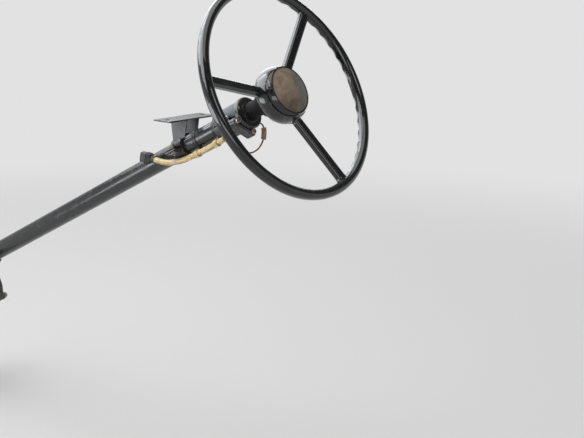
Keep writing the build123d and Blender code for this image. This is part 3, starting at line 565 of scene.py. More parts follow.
@dataclass(frozen=True)
class Paint(Finish):
    """Paint on metal, with its grain, worn edges, chips, rust and dust."""

    colour: Colour = (0.012, 0.013, 0.015)
    faded: Colour = (0.030, 0.031, 0.033)
    metal: Colour = (0.42, 0.41, 0.40)
    corner_dirt: Colour = (0.062, 0.050, 0.036)
    gloss: float = 0.36
    grain: float = 2.0
    grain_depth: float = 0.02
    sag: float = 0.04
    wear: float = 0.6
    wear_reach: float = 1.3
    chips: float = 0.5
    rust: float = 0.5
    dust: float = 0.5
    grime: float = 0.6
    shine: float = 0.5
    mould_line: Optional[float] = None
    local: Matrix = field(default_factory=lambda: COLUMN_FRAME)

    def draw(self, sheet: NodeSheet) -> None:
        """Draws the coat, what wore through it to the metal, and what settled on it.

        Args:
            sheet: the material's nodes.
        """
        place = sheet.place(self.local)
        fade = sheet.patches(place, 42.0, 0.42, 0.66, detail=6.0, rough=0.6, bend=0.6)
        ragged = sheet.ramped(sheet.noise(place, 4.2, detail=7.0, rough=0.68), 0.35, 0.75, -0.45, 0.45)
        edge = sheet.sum("ADD", sheet.times(sheet.edges(self.wear_reach), self.wear), ragged)
        chip = sheet.patches(place, 8.5, 0.78 - 0.12 * self.chips, 0.80 - 0.12 * self.chips, detail=9.0,
                             rough=0.62, bend=0.3)
        bare = sheet.sum("MAXIMUM", sheet.ramped(edge, 0.42, 0.5), chip)
        rusty = sheet.patches(place, 6.0, 0.66 - 0.3 * self.rust, 0.74 - 0.3 * self.rust, detail=7.0,
                              rough=0.7)
        stain = sheet.patches(place, 13.0, 0.56, 0.72, detail=8.0, rough=0.66, bend=0.8)
        settled = sheet.times(sheet.topside(0.1, 0.95),
                              sheet.patches(place, 9.0, 0.34, 0.68, detail=7.0, rough=0.62))
        coats = Coats(sheet, self.colour, self.gloss)
        coats.over(fade, self.faded, self.gloss + 0.16, share=0.8)
        coats.over(bare, sheet.blend(rusty, self.metal, RUST), sheet.between(rusty, 0.34, 0.85),
                   sheet.between(rusty, 0.9, 0.0))
        coats.over(stain, OLD_GREASE, 0.6, 0.0, share=0.3 * self.grime)
        coats.over(settled, DUST, 0.85, 0.0, share=0.75 * self.dust)
        coats.over(sheet.corners(9.0), self.corner_dirt, 0.85, 0.0, share=0.7 * self.grime)
        coats.rounded(0.55)
        if self.sag:
            coats.bumped(sheet.noise(place, 12.0, detail=3.0), self.sag)
        coats.bumped(sheet.noise(place, self.grain, detail=4.0, rough=0.6), self.grain_depth)
        coats.bumped(bare, -0.05)
        if self.mould_line is not None:
            coats.bumped(self.trimmed_line(sheet, place), 0.45)
        coats.close(Specular_IOR_Level=self.shine)

    def trimmed_line(self, sheet: NodeSheet, place: Socket) -> Socket:
        """Low uneven ridge where the two halves of the mould or die met.

        Args:
            sheet: the material's nodes.
            place: where, in millimetres.

        Returns:
            The ridge's height, from 0 to 1.
        """
        off = sheet.sum("ABSOLUTE", sheet.sum("SUBTRACT", sheet.parts(place)[2], self.mould_line))
        uneven = sheet.ramped(sheet.noise(place, 7.0, detail=4.0), 0.3, 0.6, 0.35, 1.0)
        return sheet.times(sheet.ramped(off, 1.1, 0.3), uneven)


@dataclass(frozen=True)
class Metal(Finish):
    """Bare or plated metal with its tool marks, dulled, stained and rusty in places."""

    colour: Colour = (0.44, 0.43, 0.41)
    dull: Colour = (0.30, 0.29, 0.27)
    film_colour: Colour = (0.030, 0.022, 0.014)
    rough: float = 0.30
    rings: float = 0.6
    ring_depth: float = 0.006
    rust: float = 0.3
    grease: float = 0.3
    dust: float = 0.2
    local: Matrix = field(default_factory=lambda: COLUMN_FRAME)

    def draw(self, sheet: NodeSheet) -> None:
        """Draws tool marks round the local frame's axis, tarnish, rust, grease and dust.

        Args:
            sheet: the material's nodes.
        """
        place = sheet.place(self.local)
        turned = sheet.noise(sheet.stretched(place, (0.03, 0.03, 1.0)), self.rings, detail=3.0)
        rough = sheet.ramped(turned, 0.3, 0.7, self.rough - 0.08, self.rough + 0.08)
        tarnish = sheet.patches(place, 12.0, 0.40, 0.66, detail=7.0, rough=0.64, bend=0.5)
        rusty = sheet.patches(place, 4.6, 0.74 - 0.3 * self.rust, 0.84 - 0.3 * self.rust, detail=8.0,
                              rough=0.7, bend=0.3)
        film = sheet.patches(place, 18.0, 0.5, 0.62, detail=5.0, rough=0.6, bend=1.0)
        coats = Coats(sheet, self.colour, rough, 1.0)
        coats.over(tarnish, self.dull, self.rough + 0.16, share=0.85)
        coats.over(rusty, sheet.blend(sheet.noise(place, 1.1, detail=5.0), RUST, RUST_BRIGHT), 0.86, 0.0)
        coats.over(film, self.film_colour, 0.26, 0.0, share=self.grease)
        coats.over(sheet.corners(5.0), OLD_GREASE, 0.8, 0.0, share=0.75)
        coats.over(sheet.topside(0.2), DUST, 0.85, 0.0, share=0.6 * self.dust)
        coats.rounded(0.35)
        coats.bumped(turned, self.ring_depth)
        coats.bumped(rusty, 0.03)
        coats.close()


@dataclass(frozen=True)
class Rubber(Finish):
    """Matt black rubber with grey bloom, fine wrinkles and dust."""

    colour: Colour = (0.012, 0.012, 0.012)
    bloom: Colour = (0.060, 0.060, 0.060)

    def draw(self, sheet: NodeSheet) -> None:
        """Draws bloom, wrinkles and dust.

        Args:
            sheet: the material's nodes.
        """
        place = sheet.place(COLUMN_FRAME)
        coats = Coats(sheet, self.colour, 0.68)
        coats.over(sheet.patches(place, 6.0, 0.44, 0.7, detail=7.0, rough=0.65), self.bloom, 0.82, share=0.8)
        coats.over(sheet.topside(), DUST, 0.9, share=0.35)
        coats.rounded(0.5)
        coats.bumped(sheet.cells(place, 1.4, "DISTANCE_TO_EDGE"), 0.04)
        coats.close(Specular_IOR_Level=0.3)


@dataclass(frozen=True)
class Sleeving(Finish):
    """Braided cotton sleeving under old yellow varnish, stained brown."""

    colour: Colour = (0.790, 0.590, 0.260)
    pale: Colour = (0.900, 0.760, 0.440)
    groove: Colour = (0.42, 0.25, 0.085)
    stain: Colour = (0.330, 0.165, 0.050)
    spot: Colour = (0.17, 0.085, 0.03)
    strands: int = 24
    braid_pitch: float = 3.0

    def draw(self, sheet: NodeSheet) -> None:
        """Draws a braid from the direction of the surface round the sleeve, its varnish and stains.

        Args:
            sheet: the material's nodes.
        """
        place = sheet.place(COLUMN_FRAME)
        braid = self.braid(sheet, place)
        under = sheet.ramped(sheet.facing(-UP), -0.1, 0.9)
        uneven = sheet.ramped(sheet.noise(place, 12.0, detail=7.0, rough=0.66, bend=1.2), 0.3, 0.7,
                              -0.55, 0.55)
        coats = Coats(sheet, self.colour, 0.42)
        coats.over(sheet.patches(place, 16.0, 0.40, 0.66, detail=6.0, rough=0.62, bend=0.7), self.pale)
        coats.over(sheet.ramped(braid, 0.35, 0.0), self.groove, 0.6, share=0.14)
        coats.over(sheet.ramped(sheet.sum("ADD", under, uneven), 0.45, 1.05), self.stain, 0.5, share=0.8)
        coats.over(sheet.patches(place, 5.0, 0.60, 0.72, detail=7.0, rough=0.7), self.spot, 0.55, share=0.7)
        coats.over(sheet.corners(5.0), VARNISH_DIRT, 0.8, share=0.6)
        coats.bumped(braid, 0.05)
        coats.bumped(sheet.noise(place, 9.0, detail=4.0), 0.3)
        coats.close(Coat_Weight=0.15, Coat_Roughness=0.25)

    def braid(self, sheet: NodeSheet, place: Socket) -> Socket:
        """Relief of strands that cross, left hand over right hand.

        Args:
            sheet: the material's nodes.
            place: where, in millimetres.

        Returns:
            The relief's height, from 0 to 1.
        """
        out_right = sheet.facing(Vector((0, -1, 0)))
        out_up = sheet.facing(COLUMN_FRAME.to_3x3().col[1].normalized())
        round_it = sheet.times(sheet.sum("ARCTAN2", out_up, out_right), self.strands / 2.0)
        run = sheet.times(sheet.parts(place)[2], math.pi / self.braid_pitch)
        left_hand = sheet.sum("SINE", sheet.sum("ADD", round_it, run))
        right_hand = sheet.sum("SINE", sheet.sum("SUBTRACT", round_it, run))
        return sheet.ramped(sheet.times(left_hand, right_hand), -0.9, 0.9)


@dataclass(frozen=True)
class TapedBand(Finish):
    """Black painted band whose loop is wrapped in the sleeving's own varnished tape."""

    paint: Colour = (0.012, 0.013, 0.014)
    faded: Colour = (0.023, 0.024, 0.026)
    tape: Colour = (0.760, 0.565, 0.250)
    pale: Colour = (0.880, 0.735, 0.420)
    stain: Colour = (0.300, 0.150, 0.050)
    loop_at: Point = (-22.8, -28.2)
    loop_reach: float = 9.3
    tape_edge: float = 0.4
    weave_pitch: float = 0.9

    def draw(self, sheet: NodeSheet) -> None:
        """Draws the paint with its rust, then the tape with its weave, stains and dirty edges.

        Args:
            sheet: the material's nodes.
        """
        place = sheet.place(COLUMN_FRAME)
        right, up, along = sheet.parts(place)
        out = sheet.distance(sheet.sum("SUBTRACT", right, self.loop_at[0]),
                             sheet.sum("SUBTRACT", up, self.loop_at[1]))
        taped = sheet.ramped(out, self.loop_reach + self.tape_edge, self.loop_reach)
        cloth = sheet.blend(sheet.patches(place, 16.0, 0.40, 0.66, detail=6.0, rough=0.62, bend=0.7),
                            self.tape, self.pale)
        soaked = sheet.patches(place, 4.0, 0.52, 0.72, detail=7.0, rough=0.7, bend=0.5)
        threads = sheet.sum("SINE", sheet.times(along, math.tau / self.weave_pitch))
        coats = Coats(sheet, self.paint, 0.28)
        coats.over(sheet.patches(place, 9.0, 0.42, 0.66, detail=6.0, rough=0.6, bend=0.6), self.faded, 0.44)
        coats.over(sheet.patches(place, 4.0, 0.58, 0.66, detail=8.0, rough=0.7, bend=0.3), RUST, 0.85)
        coats.over(taped, cloth, 0.46)
        coats.over(sheet.times(taped, soaked), self.stain, 0.55, share=0.6)
        coats.over(sheet.times(sheet.edges(0.9), taped), self.stain, 0.7, share=0.45)
        coats.over(sheet.corners(4.0), VARNISH_DIRT, 0.8, share=0.55)
        coats.rounded(0.4)
        coats.bumped(sheet.times(taped, sheet.ramped(threads, -1.0, 1.0)), 0.04)
        coats.bumped(sheet.noise(place, 3.0, detail=4.0), 0.06)
        coats.close(Specular_IOR_Level=0.4)


@dataclass(frozen=True)
class Insulation(Finish):
    """Soft covering of a wire, faded and dirty."""

    colour: Colour = (0.130, 0.048, 0.026)
    faded: Colour = (0.300, 0.160, 0.105)
    dirt: Colour = (0.035, 0.022, 0.016)

    def draw(self, sheet: NodeSheet) -> None:
        """Draws fading, fine cracks and dirt.

        Args:
            sheet: the material's nodes.
        """
        place = sheet.place(COLUMN_FRAME)
        coats = Coats(sheet, self.colour, 0.5)
        coats.over(sheet.patches(place, 7.0, 0.38, 0.66, detail=7.0, rough=0.66, bend=0.6), self.faded, 0.66)
        coats.over(sheet.topside(0.1), DUST, 0.85, share=0.45)
        coats.over(sheet.patches(place, 2.4, 0.56, 0.68, detail=6.0, rough=0.7), self.dirt, share=0.7)
        coats.bumped(sheet.noise(place, 1.5, detail=5.0), 0.08)
        coats.close(Specular_IOR_Level=0.4)


ZINC: Colour = (0.46, 0.44, 0.38)
ZINC_DULL: Colour = (0.30, 0.27, 0.20)

WHEEL_BLACK = Moulding("wheel_black_moulding", "wheel_black")
BELL_BLACK = Moulding("bell_black_moulding", "wheel_black", hazed=0.6, smeared=0.65)
BUTTON_GREY = RubbedCap("button_grey_cap", "button_grey")
HUB_BLACK = Paint("hub_black_casting", "hub_black", colour=(0.005, 0.005, 0.006),
                  faded=(0.010, 0.010, 0.010), gloss=0.62, grain=1.6, grain_depth=0.14, sag=0.25,
                  wear=0.2, chips=0.05, dust=0.15, grime=0.3, shine=0.15)
COLUMN_BLACK = Paint("column_black_tube", "column_black", colour=(0.009, 0.010, 0.012),
                     faded=(0.017, 0.018, 0.020), gloss=0.16, grain=1.1, grain_depth=0.003, sag=0.02,
                     wear=0.55, chips=0.3, dust=0.22, grime=0.3, shine=0.7)
SWITCH_BLACK = Paint("switch_black_case", "switch_black", colour=(0.010, 0.012, 0.015),
                     faded=(0.024, 0.027, 0.032), metal=(0.62, 0.62, 0.60), gloss=0.24, grain=1.0,
                     grain_depth=0.012, wear=0.75, wear_reach=1.8, chips=0.2, rust=0.1, dust=0.4,
                     grime=0.5, shine=0.8)
SLEEVE_GREY = Paint("sleeve_grey_crackle", "sleeve_grey", colour=(0.045, 0.060, 0.080),
                    faded=(0.088, 0.108, 0.132), gloss=0.42, grain=1.5, grain_depth=0.10, sag=0.0,
                    wear=0.75, chips=0.25, rust=0.35, dust=0.4)
BRACKET_BLACK = Paint("bracket_black_pressing", "bracket_black", colour=(0.012, 0.013, 0.014),
                      faded=(0.023, 0.024, 0.026), gloss=0.28, grain=1.3, wear=0.85, chips=0.7,
                      rust=0.7, dust=0.4)
CAST_PAINT = Paint("cast_paint_sand", "cast_paint", colour=(0.043, 0.050, 0.040),
                   faded=(0.100, 0.104, 0.086), metal=(0.20, 0.19, 0.18), gloss=0.46, grain=2.4,
                   grain_depth=0.42, sag=0.6, wear=0.75, wear_reach=1.8, chips=0.55, rust=0.8, dust=0.8,
                   grime=1.5, mould_line=-52.0, local=GEAR_FRAME)
ARM_FORGED = Paint("arm_forged_black", "arm_forged", colour=(0.022, 0.022, 0.023),
                   faded=(0.050, 0.046, 0.042), metal=(0.30, 0.29, 0.28), gloss=0.44, grain=3.2,
                   grain_depth=0.22, sag=0.4, wear=0.9, wear_reach=2.0, chips=0.6, rust=1.0, dust=0.5,
                   grime=0.9, mould_line=55.0, local=ARM_FRAME)
PLUG_BLACK = Paint("plug_black_moulded", "plug_black", colour=(0.016, 0.016, 0.016), gloss=0.45,
                   grain=0.9, grain_depth=0.02, wear=0.0, chips=0.0, rust=0.0, dust=0.6, grime=0.5)
BARE_STEEL = Metal("bare_steel_turned", "bare_steel", grease=0.55, rust=0.25)
STUD_STEEL = Metal("stud_steel_ground", "bare_steel", grease=0.7, rust=0.35, local=ARM_FRAME)
SHIM_STEEL = Metal("shim_steel_stack", "shim_steel", colour=(0.50, 0.48, 0.44), rings=0.25, rust=0.4,
                   local=GEAR_FRAME)
WELD_STEEL = Metal("weld_bead_steel", "bracket_black", colour=(0.10, 0.10, 0.10),
                   dull=(0.045, 0.043, 0.042), rough=0.5, rust=0.6, grease=0.1, dust=0.5)
SCREW_RUST = Metal("screw_rust_steel", "screw_rust", colour=(0.56, 0.47, 0.40),
                   dull=(0.42, 0.31, 0.24), rough=0.4, rust=0.75, grease=0.0, dust=0.5)
ZINC_COLUMN = Metal("zinc_bolt_column", "zinc_bolt", colour=ZINC, dull=ZINC_DULL, rough=0.38, rust=0.45,
                    grease=0.1, dust=0.4)
ZINC_GEAR = Metal("zinc_bolt_gear", "zinc_bolt", colour=ZINC, dull=ZINC_DULL, rough=0.38, rust=0.55,
                  grease=0.35, dust=0.4, local=GEAR_FRAME)
ZINC_ARM = Metal("zinc_nut_arm", "zinc_bolt", colour=ZINC, dull=ZINC_DULL, rough=0.38, rust=0.6,
                 grease=0.4, dust=0.4, local=ARM_FRAME)
BRONZE = Metal("bush_bronze_oiled", "bush_bronze", colour=(0.16, 0.10, 0.045),
               dull=(0.035, 0.025, 0.016), rust=0.0, grease=1.0)
PIN_BRASS = Metal("plug_pin_brass", "bush_bronze", colour=(0.62, 0.45, 0.18), dull=(0.30, 0.20, 0.09),
                  rust=0.0, grease=0.2)
COPPER_RING = Metal("sealing_ring_copper", "bush_bronze", colour=(0.55, 0.27, 0.15),
                    dull=(0.20, 0.105, 0.06), rust=0.0, grease=0.5, local=GEAR_FRAME)
RUBBER = Rubber("rubber_black_aged", "rubber_black")
SHEATH = Sleeving("sheath_yellow_braid", "sheath_yellow")
CLIP_TAPED = TapedBand("clip_black_taped", "bracket_black")
LEAD_BROWN = Insulation("lead_brown_cover", "lead_brown")
LEAD_SLEEVE = Insulation("lead_sleeve_faded", "sleeve_pink", colour=(0.33, 0.135, 0.085),
                         faded=(0.50, 0.30, 0.215))
GASKET = Insulation("gasket_oiled_card", "rubber_black", colour=(0.075, 0.055, 0.034),
                    faded=(0.14, 0.11, 0.07))


def polar(radius: float, angle: float) -> Point:
    """Flat point at a radius and at an angle in radians."""
    return radius * math.cos(angle), radius * math.sin(angle)


def ring(middle: Vector, first: Vector, second: Vector, radius: float, sides: int) -> list[Vector]:
    """Points on a circle in space.

    Args:
        middle: its middle.
        first: one direction in its plane, of length 1.
        second: the direction square to that one.
        radius: its radius.
        sides: how many points it has.

    Returns:
        The points.
    """
    angles = [math.tau * side / sides for side in range(sides)]
    return [middle + radius * (first * math.cos(angle) + second * math.sin(angle)) for angle in angles]


class Shape:
    """Mesh in the making, in millimetres in a local frame."""

    def __init__(self, local: Matrix) -> None:
        """Starts an empty mesh.

        Args:
            local: the local frame that its points are in.
        """
        self.local = local
        self.mesh = bmesh.new()

    def skin(self, rows: Sequence[Sequence[Vector]], at: Optional[Matrix] = None,
             lids: bool = True) -> "Shape":
        """Adds a skin over closed rows of points.

        Args:
            rows: rows with the same count of points each.
            at: a move within the local frame.
            lids: whether the first and last rows are filled.

        Returns:
            The same shape.
        """
        move = at or Matrix.Identity(4)
        made = [[self.mesh.verts.new(move @ Vector(point)) for point in row] for row in rows]
        count = len(made[0])
        for low, high in zip(made, made[1:]):
            for here in range(count):
                after = (here + 1) % count
                self.mesh.faces.new((low[here], low[after], high[after], high[here]))
        if lids:
            self.mesh.faces.new(made[0])
            self.mesh.faces.new(made[-1])
        return self

    def turned(self, profile: Sequence[Point], at: Optional[Matrix] = None, sides: int = 40,
               closed: bool = False) -> "Shape":
        """Adds a solid of revolution about the third axis.

        Args:
            profile: points of (radius, height).
            at: a move within the local frame.
            sides: how many sides a ring has.
            closed: whether the profile is a loop, as for a washer.

        Returns:
            The same shape.
        """
        points = list(profile) + ([profile[0]] if closed else [])
        angles = [math.tau * side / sides for side in range(sides)]
        rows = [[Vector((*polar(radius, angle), height)) for angle in angles] for radius, height in points]
        return self.skin(rows, at, lids=not closed)

    def hexagon(self, across: float, low: float, high: float, at: Optional[Matrix] = None,
                bore: float = 0.0, both: bool = False) -> "Shape":
        """Adds a hexagon with its corners turned off, as on a nut or a bolt's head.

        Args:
            across: its size across flats.
            low: where it starts.
            high: where it ends.
            at: a move within the local frame.
            bore: radius of a hole through it, or 0.
            both: whether the lower corners are turned off too.

        Returns:
            The same shape.
        """
        sides, flat = 60, across / 2.0
        # The corners drop at 30 degrees, from a circle a little inside the flats
        slope, start = math.tan(math.radians(30.0)), 0.96 * flat

        def row(radius: Optional[float], height: float, sign: float) -> list[Vector]:
            """One row of points round the third axis.

            Args:
                radius: its radius, or None for a row on the hexagon.
                height: its height.
                sign: 1 where the corners drop, -1 where they rise, and 0 where they do neither.

            Returns:
                The points.
            """
            found = []
            for side in range(sides):
                angle = math.tau * side / sides
                from_flat = (angle + math.pi / 6) % (math.pi / 3) - math.pi / 6
                reach = flat / math.cos(from_flat) if radius is None else radius
                drop = max(0.0, reach - start) * slope if radius is None else 0.0
                found.append(Vector((*polar(reach, angle), height - sign * drop)))
            return found

        rows = [row(bore or ON_AXIS, low, 0.0)]
        if both:
            rows.append(row(start, low, 0.0))
        rows += [row(None, low, -1.0 if both else 0.0), row(None, high, 1.0), row(start, high, 0.0)]
        rows.append(row(bore + BORE_CHAMFER if bore else ON_AXIS, high, 0.0))
        if bore:
            rows.append(row(bore, high - BORE_CHAMFER, 0.0))
            rows.append(row(bore, low, 0.0))
        return self.skin(rows, at, lids=not bore)

    def thread(self, radius: float, pitch: float, low: float, high: float,
               at: Optional[Matrix] = None) -> "Shape":
        """Adds a threaded rod.

        Args:
            radius: its outer radius.
            pitch: the thread's pitch.
            low: where it starts.
            high: where it ends.
            at: a move within the local frame.

        Returns:
            The same shape.
        """
        sides, steps, depth = 24, 6, 0.55 * pitch
        count = max(2, int(steps * (high - low) / pitch))
        rows = []
        for step in range(count + 1):
            height = low + (high - low) * step / count
            end = min(1.0, (high - height) / pitch)
            row = []
            for side in range(sides):
                phase = (height / pitch - side / sides) % 1.0
                reach = radius - depth * abs(2.0 * phase - 1.0) - 0.5 * pitch * (1.0 - end)
                row.append(Vector((*polar(reach, math.tau * side / sides), height)))
            rows.append(row)
        return self.skin(rows, at)

    def tube(self, route: Sequence[Vector], radius: float, sides: int = 14) -> "Shape":
        """Adds a round bar along a route.

        Args:
            route: its middle line.
            radius: its radius.
            sides: how many sides it has.

        Returns:
            The same shape.
        """
        side_way = (route[1] - route[0]).orthogonal().normalized()
        rows = []
        for here, point in enumerate(route):
            along = (route[min(here + 1, len(route) - 1)] - route[max(here - 1, 0)]).normalized()
            side_way = (side_way - along * side_way.dot(along)).normalized()
            rows.append(ring(point, side_way, along.cross(side_way), radius, sides))
        return self.skin(rows)

    def bead(self, start: Vector, end: Vector, radius: float, ripple: float) -> "Shape":
        """Adds a weld bead with its ripples.

        Args:
            start: where it starts.
            end: where it ends.
            radius: its mean radius.
            ripple: distance from one ripple to the next.

        Returns:
            The same shape.
        """
        along = (end - start).normalized()
        side_way = along.orthogonal().normalized()
        length, sides = (end - start).length, 12
        steps = int(4 * length / ripple)
        rows = []
        for step in range(steps + 1):
            share = step / steps
            rippled = 0.13 * math.sin(math.tau * share * length / ripple)
            uneven = 0.08 * math.sin(5.3 * share * length)
            tapered = min(1.0, 0.3 + min(share, 1.0 - share) * length / radius)
            reach = radius * (1.0 + rippled + uneven) * tapered
            rows.append(ring(start + along * share * length, side_way, along.cross(side_way), reach, sides))
        return self.skin(rows)

    def plate(self, outline: Sequence[Point], low: float, high: float,
              at: Optional[Matrix] = None) -> "Shape":
        """Adds a flat piece from an outline.

        Args:
            outline: its corners, as (x, y).
            low: where it starts on z.
            high: where it ends.
            at: a move within the local frame.

        Returns:
            The same shape.
        """
        return self.skin([[Vector((x, y, z)) for x, y in outline] for z in (low, high)], at)

    def piece(self, name: str, finish: Finish, body: Body, rounding: float = 0.0,
              sharp: float = 32.0) -> bpy.types.Object:
        """Makes the piece: dressed, riding on its body and reported.

        Args:
            name: the piece's name.
            finish: its finish.
            body: what it rides on.
            rounding: width of its rounded edges, in millimetres, or 0.
            sharp: angle above which an edge stays sharp, in degrees.

        Returns:
            The new object.
        """
        bmesh.ops.remove_doubles(self.mesh, verts=self.mesh.verts, dist=0.02)
        bmesh.ops.recalc_face_normals(self.mesh, faces=self.mesh.faces)
        data = bpy.data.meshes.new(name)
        self.mesh.to_mesh(data)
        self.mesh.free()
        data.transform(self.local)
        data.polygons.foreach_set("use_smooth", [True] * len(data.polygons))
        data.set_sharp_from_angle(angle=math.radians(sharp))
        made = bpy.data.objects.new(name, data)
        bpy.context.scene.collection.objects.link(made)
        if rounding:
            soft = made.modifiers.new("rounding", "BEVEL")
            soft.width, soft.segments = rounding * MM, 2
            soft.limit_method, soft.angle_limit = "ANGLE", math.radians(sharp)
            soft.harden_normals = True
        data.materials.append(finish.material())
        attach(made, body.value)
        LOG.info("%s rides on the %s with %d faces", name, body.value, len(data.polygons))
        return made


def dress(finish: Finish, *nodes: str) -> None:
    """Gives solids of the frame their finish.

    Args:
        finish: the finish.
        nodes: the solids' names.
    """
    for node in nodes:
        for slot in frame["nodes"][node].material_slots:
            slot.material = finish.material()
        LOG.info("%s has the finish %s", node, finish.name)


def moved(x: float, y: float, z: float) -> Matrix:
    """A move without a turn."""
    return Matrix.Translation((x, y, z))


def lobed(radius: float, lobe_radius: float, lobe_out: float, lobes: int,
          first: float = 0.0) -> list[Point]:
    """Outline of a disc with round lobes at its bolts.

    Args:
        radius: the disc's radius.
        lobe_radius: radius of a lobe.
        lobe_out: how far a lobe's middle is from the disc's.
        lobes: how many there are.
        first: direction of the first one, in degrees.

    Returns:
        The outline's points.
    """
    steps, outline = 180, []
    for step in range(steps):
        angle = math.tau * step / steps
        reach = radius
        for lobe in range(lobes):
            off = angle - math.radians(first) - math.tau * lobe / lobes
            side = lobe_out * math.sin(off)
            if abs(side) < lobe_radius and math.cos(off) > 0:
                reach = max(reach, lobe_out * math.cos(off) + math.sqrt(lobe_radius ** 2 - side ** 2))
        outline.append(polar(reach, angle))
    return outline


def aimed(place: Sequence[float], direction: Sequence[float], spin: float = 0.0) -> Matrix:
    """A move to a place, with the third axis turned to a direction.

    Args:
        place: where zero goes.
        direction: where the third axis points.
        spin: a turn about that axis first, in degrees.

    Returns:
        The matrix.
    """
    turn = Vector(direction).to_track_quat("Z", "Y").to_matrix().to_4x4()
    return Matrix.Translation(Vector(place)) @ turn @ Matrix.Rotation(math.radians(spin), 4, "Z")


@dataclass(frozen=True)
class HexBolt:
    """Bolt head with its spring washer and flat washer, on z from the face that it clamps."""

    across: float = 13.0
    head: float = 5.5
    washer_radius: float = 8.0
    washer: float = 1.4
    spring_radius: float = 6.9
    spring: float = 1.8
    shank: float = 4.0

    def add(self, shape: Shape, at: Matrix) -> None:
        """Adds the bolt to a shape.

        Args:
            shape: where it goes.
            at: its place, with z out of the clamped face.
        """
        if self.washer:
            shape.turned([(self.shank, 0.0), (self.washer_radius, 0.0), (self.washer_radius, self.washer),
                          (self.shank, self.washer)], at, closed=True)
        self.split_ring(shape, at)
        foot = self.washer + self.spring
        shape.hexagon(self.across, foot, foot + self.head, at)

    def split_ring(self, shape: Shape, at: Matrix) -> None:
        """Adds the spring washer, whose ends stand a little apart.

        Args:
            shape: where it goes.
            at: its place, with z out of the clamped face.
        """
        rows, steps, gap, ends_apart = [], 30, math.radians(12.0), 0.2
        section = ((self.shank, 0.0), (self.spring_radius, 0.0), (self.spring_radius, self.spring),
                   (self.shank, self.spring))
        for step in range(steps + 1):
            angle = gap / 2 + (math.tau - gap) * step / steps
            lift = ends_apart * (step / steps - 0.5)
            rows.append([Vector((*polar(radius, angle), self.washer + height + lift))
                         for radius, height in section])
        shape.skin(rows, at)


@dataclass(frozen=True)
class CastleNut:
    """Slotted nut with its flat washer and split pin, on z from the face that it clamps."""

    across: float
    height: float
    bore: float
    crown_radius: float
    crown: float
    washer_radius: float
    washer: float = 2.0
    slot: float = 4.4
    slots: int = 6
    pin_radius: float = 1.35
    pin_proud: float = 1.5
    leg_share: float = 0.72
    eye_share: float = 0.9
    eye: Triple = (4.0, 3.2, 2.4)
    front_leg: tuple[Triple, ...] = ((0.0, 0.7, 0.0), (2.5, 1.2, 1.5), (2.2, 1.4, 5.0), (-2.0, 1.2, 7.5))
    back_leg: tuple[Triple, ...] = ((0.0, -0.7, 0.0), (2.5, -1.2, -1.5), (3.0, -1.4, -6.0),
                                    (2.6, -1.2, -9.0))

    def add(self, shape: Shape, at: Matrix) -> None:
        """Adds the washer, the hexagon and the slotted crown.

        Args:
            shape: where they go.
            at: their place, with z out of the clamped face.
        """
        shape.turned([(self.bore, 0.0), (self.washer_radius, 0.0), (self.washer_radius, self.washer),
                      (self.bore, self.washer)], at, closed=True)
        shoulder = self.height - self.crown
        shape.hexagon(self.across, self.washer, shoulder, at, bore=self.bore, both=True)
        half_slot = math.asin(self.slot / 2.0 / self.crown_radius)
        sweep = math.tau / self.slots - 2 * half_slot
        steps = 8
        for block in range(self.slots):
            start = math.tau * block / self.slots + half_slot
            angles = [start + sweep * step / steps for step in range(steps + 1)]
            outer = [polar(self.crown_radius, angle) for angle in angles]
            inner = [polar(self.bore, angle) for angle in reversed(angles)]
            shape.plate(outer + inner, shoulder - SUNK, self.height, at)

    def add_pin(self, shape: Shape, at: Matrix) -> None:
        """Adds the split pin, its eye at one side and its legs bent over at the other.

        Args:
            shape: where it goes.
            at: the nut's place.
        """
        height, out = self.height - self.crown / 2.0, self.crown_radius + self.pin_proud
        neck, long, wide = self.eye
        eye = [(-out - neck - long * math.cos(angle), wide * math.sin(angle), height)
               for angle in (math.pi * step / 8 for step in range(-7, 8))]
        for leg in (self.front_leg, self.back_leg):
            bent = [(out + x, y, height + z) for x, y, z in leg]
            shape.tube([at @ Vector(point) for point in [(-out, leg[0][1], height)] + bent],
                       self.pin_radius * self.leg_share)
        shape.tube([at @ Vector(point) for point in eye], self.pin_radius * self.eye_share)


@dataclass
class SteeringWheel:
    """Rim with finger grips, three spokes, the hub bell, its horn button and the steel hub."""

    def build(self) -> None:
        """Dresses the solids."""
        dress(WHEEL_BLACK, "rim", "spoke_upper_right", "spoke_lower", "spoke_left")
        dress(BELL_BLACK, "hub_bell")
        dress(BUTTON_GREY, "horn_button")
        dress(HUB_BLACK, "hub_boss")


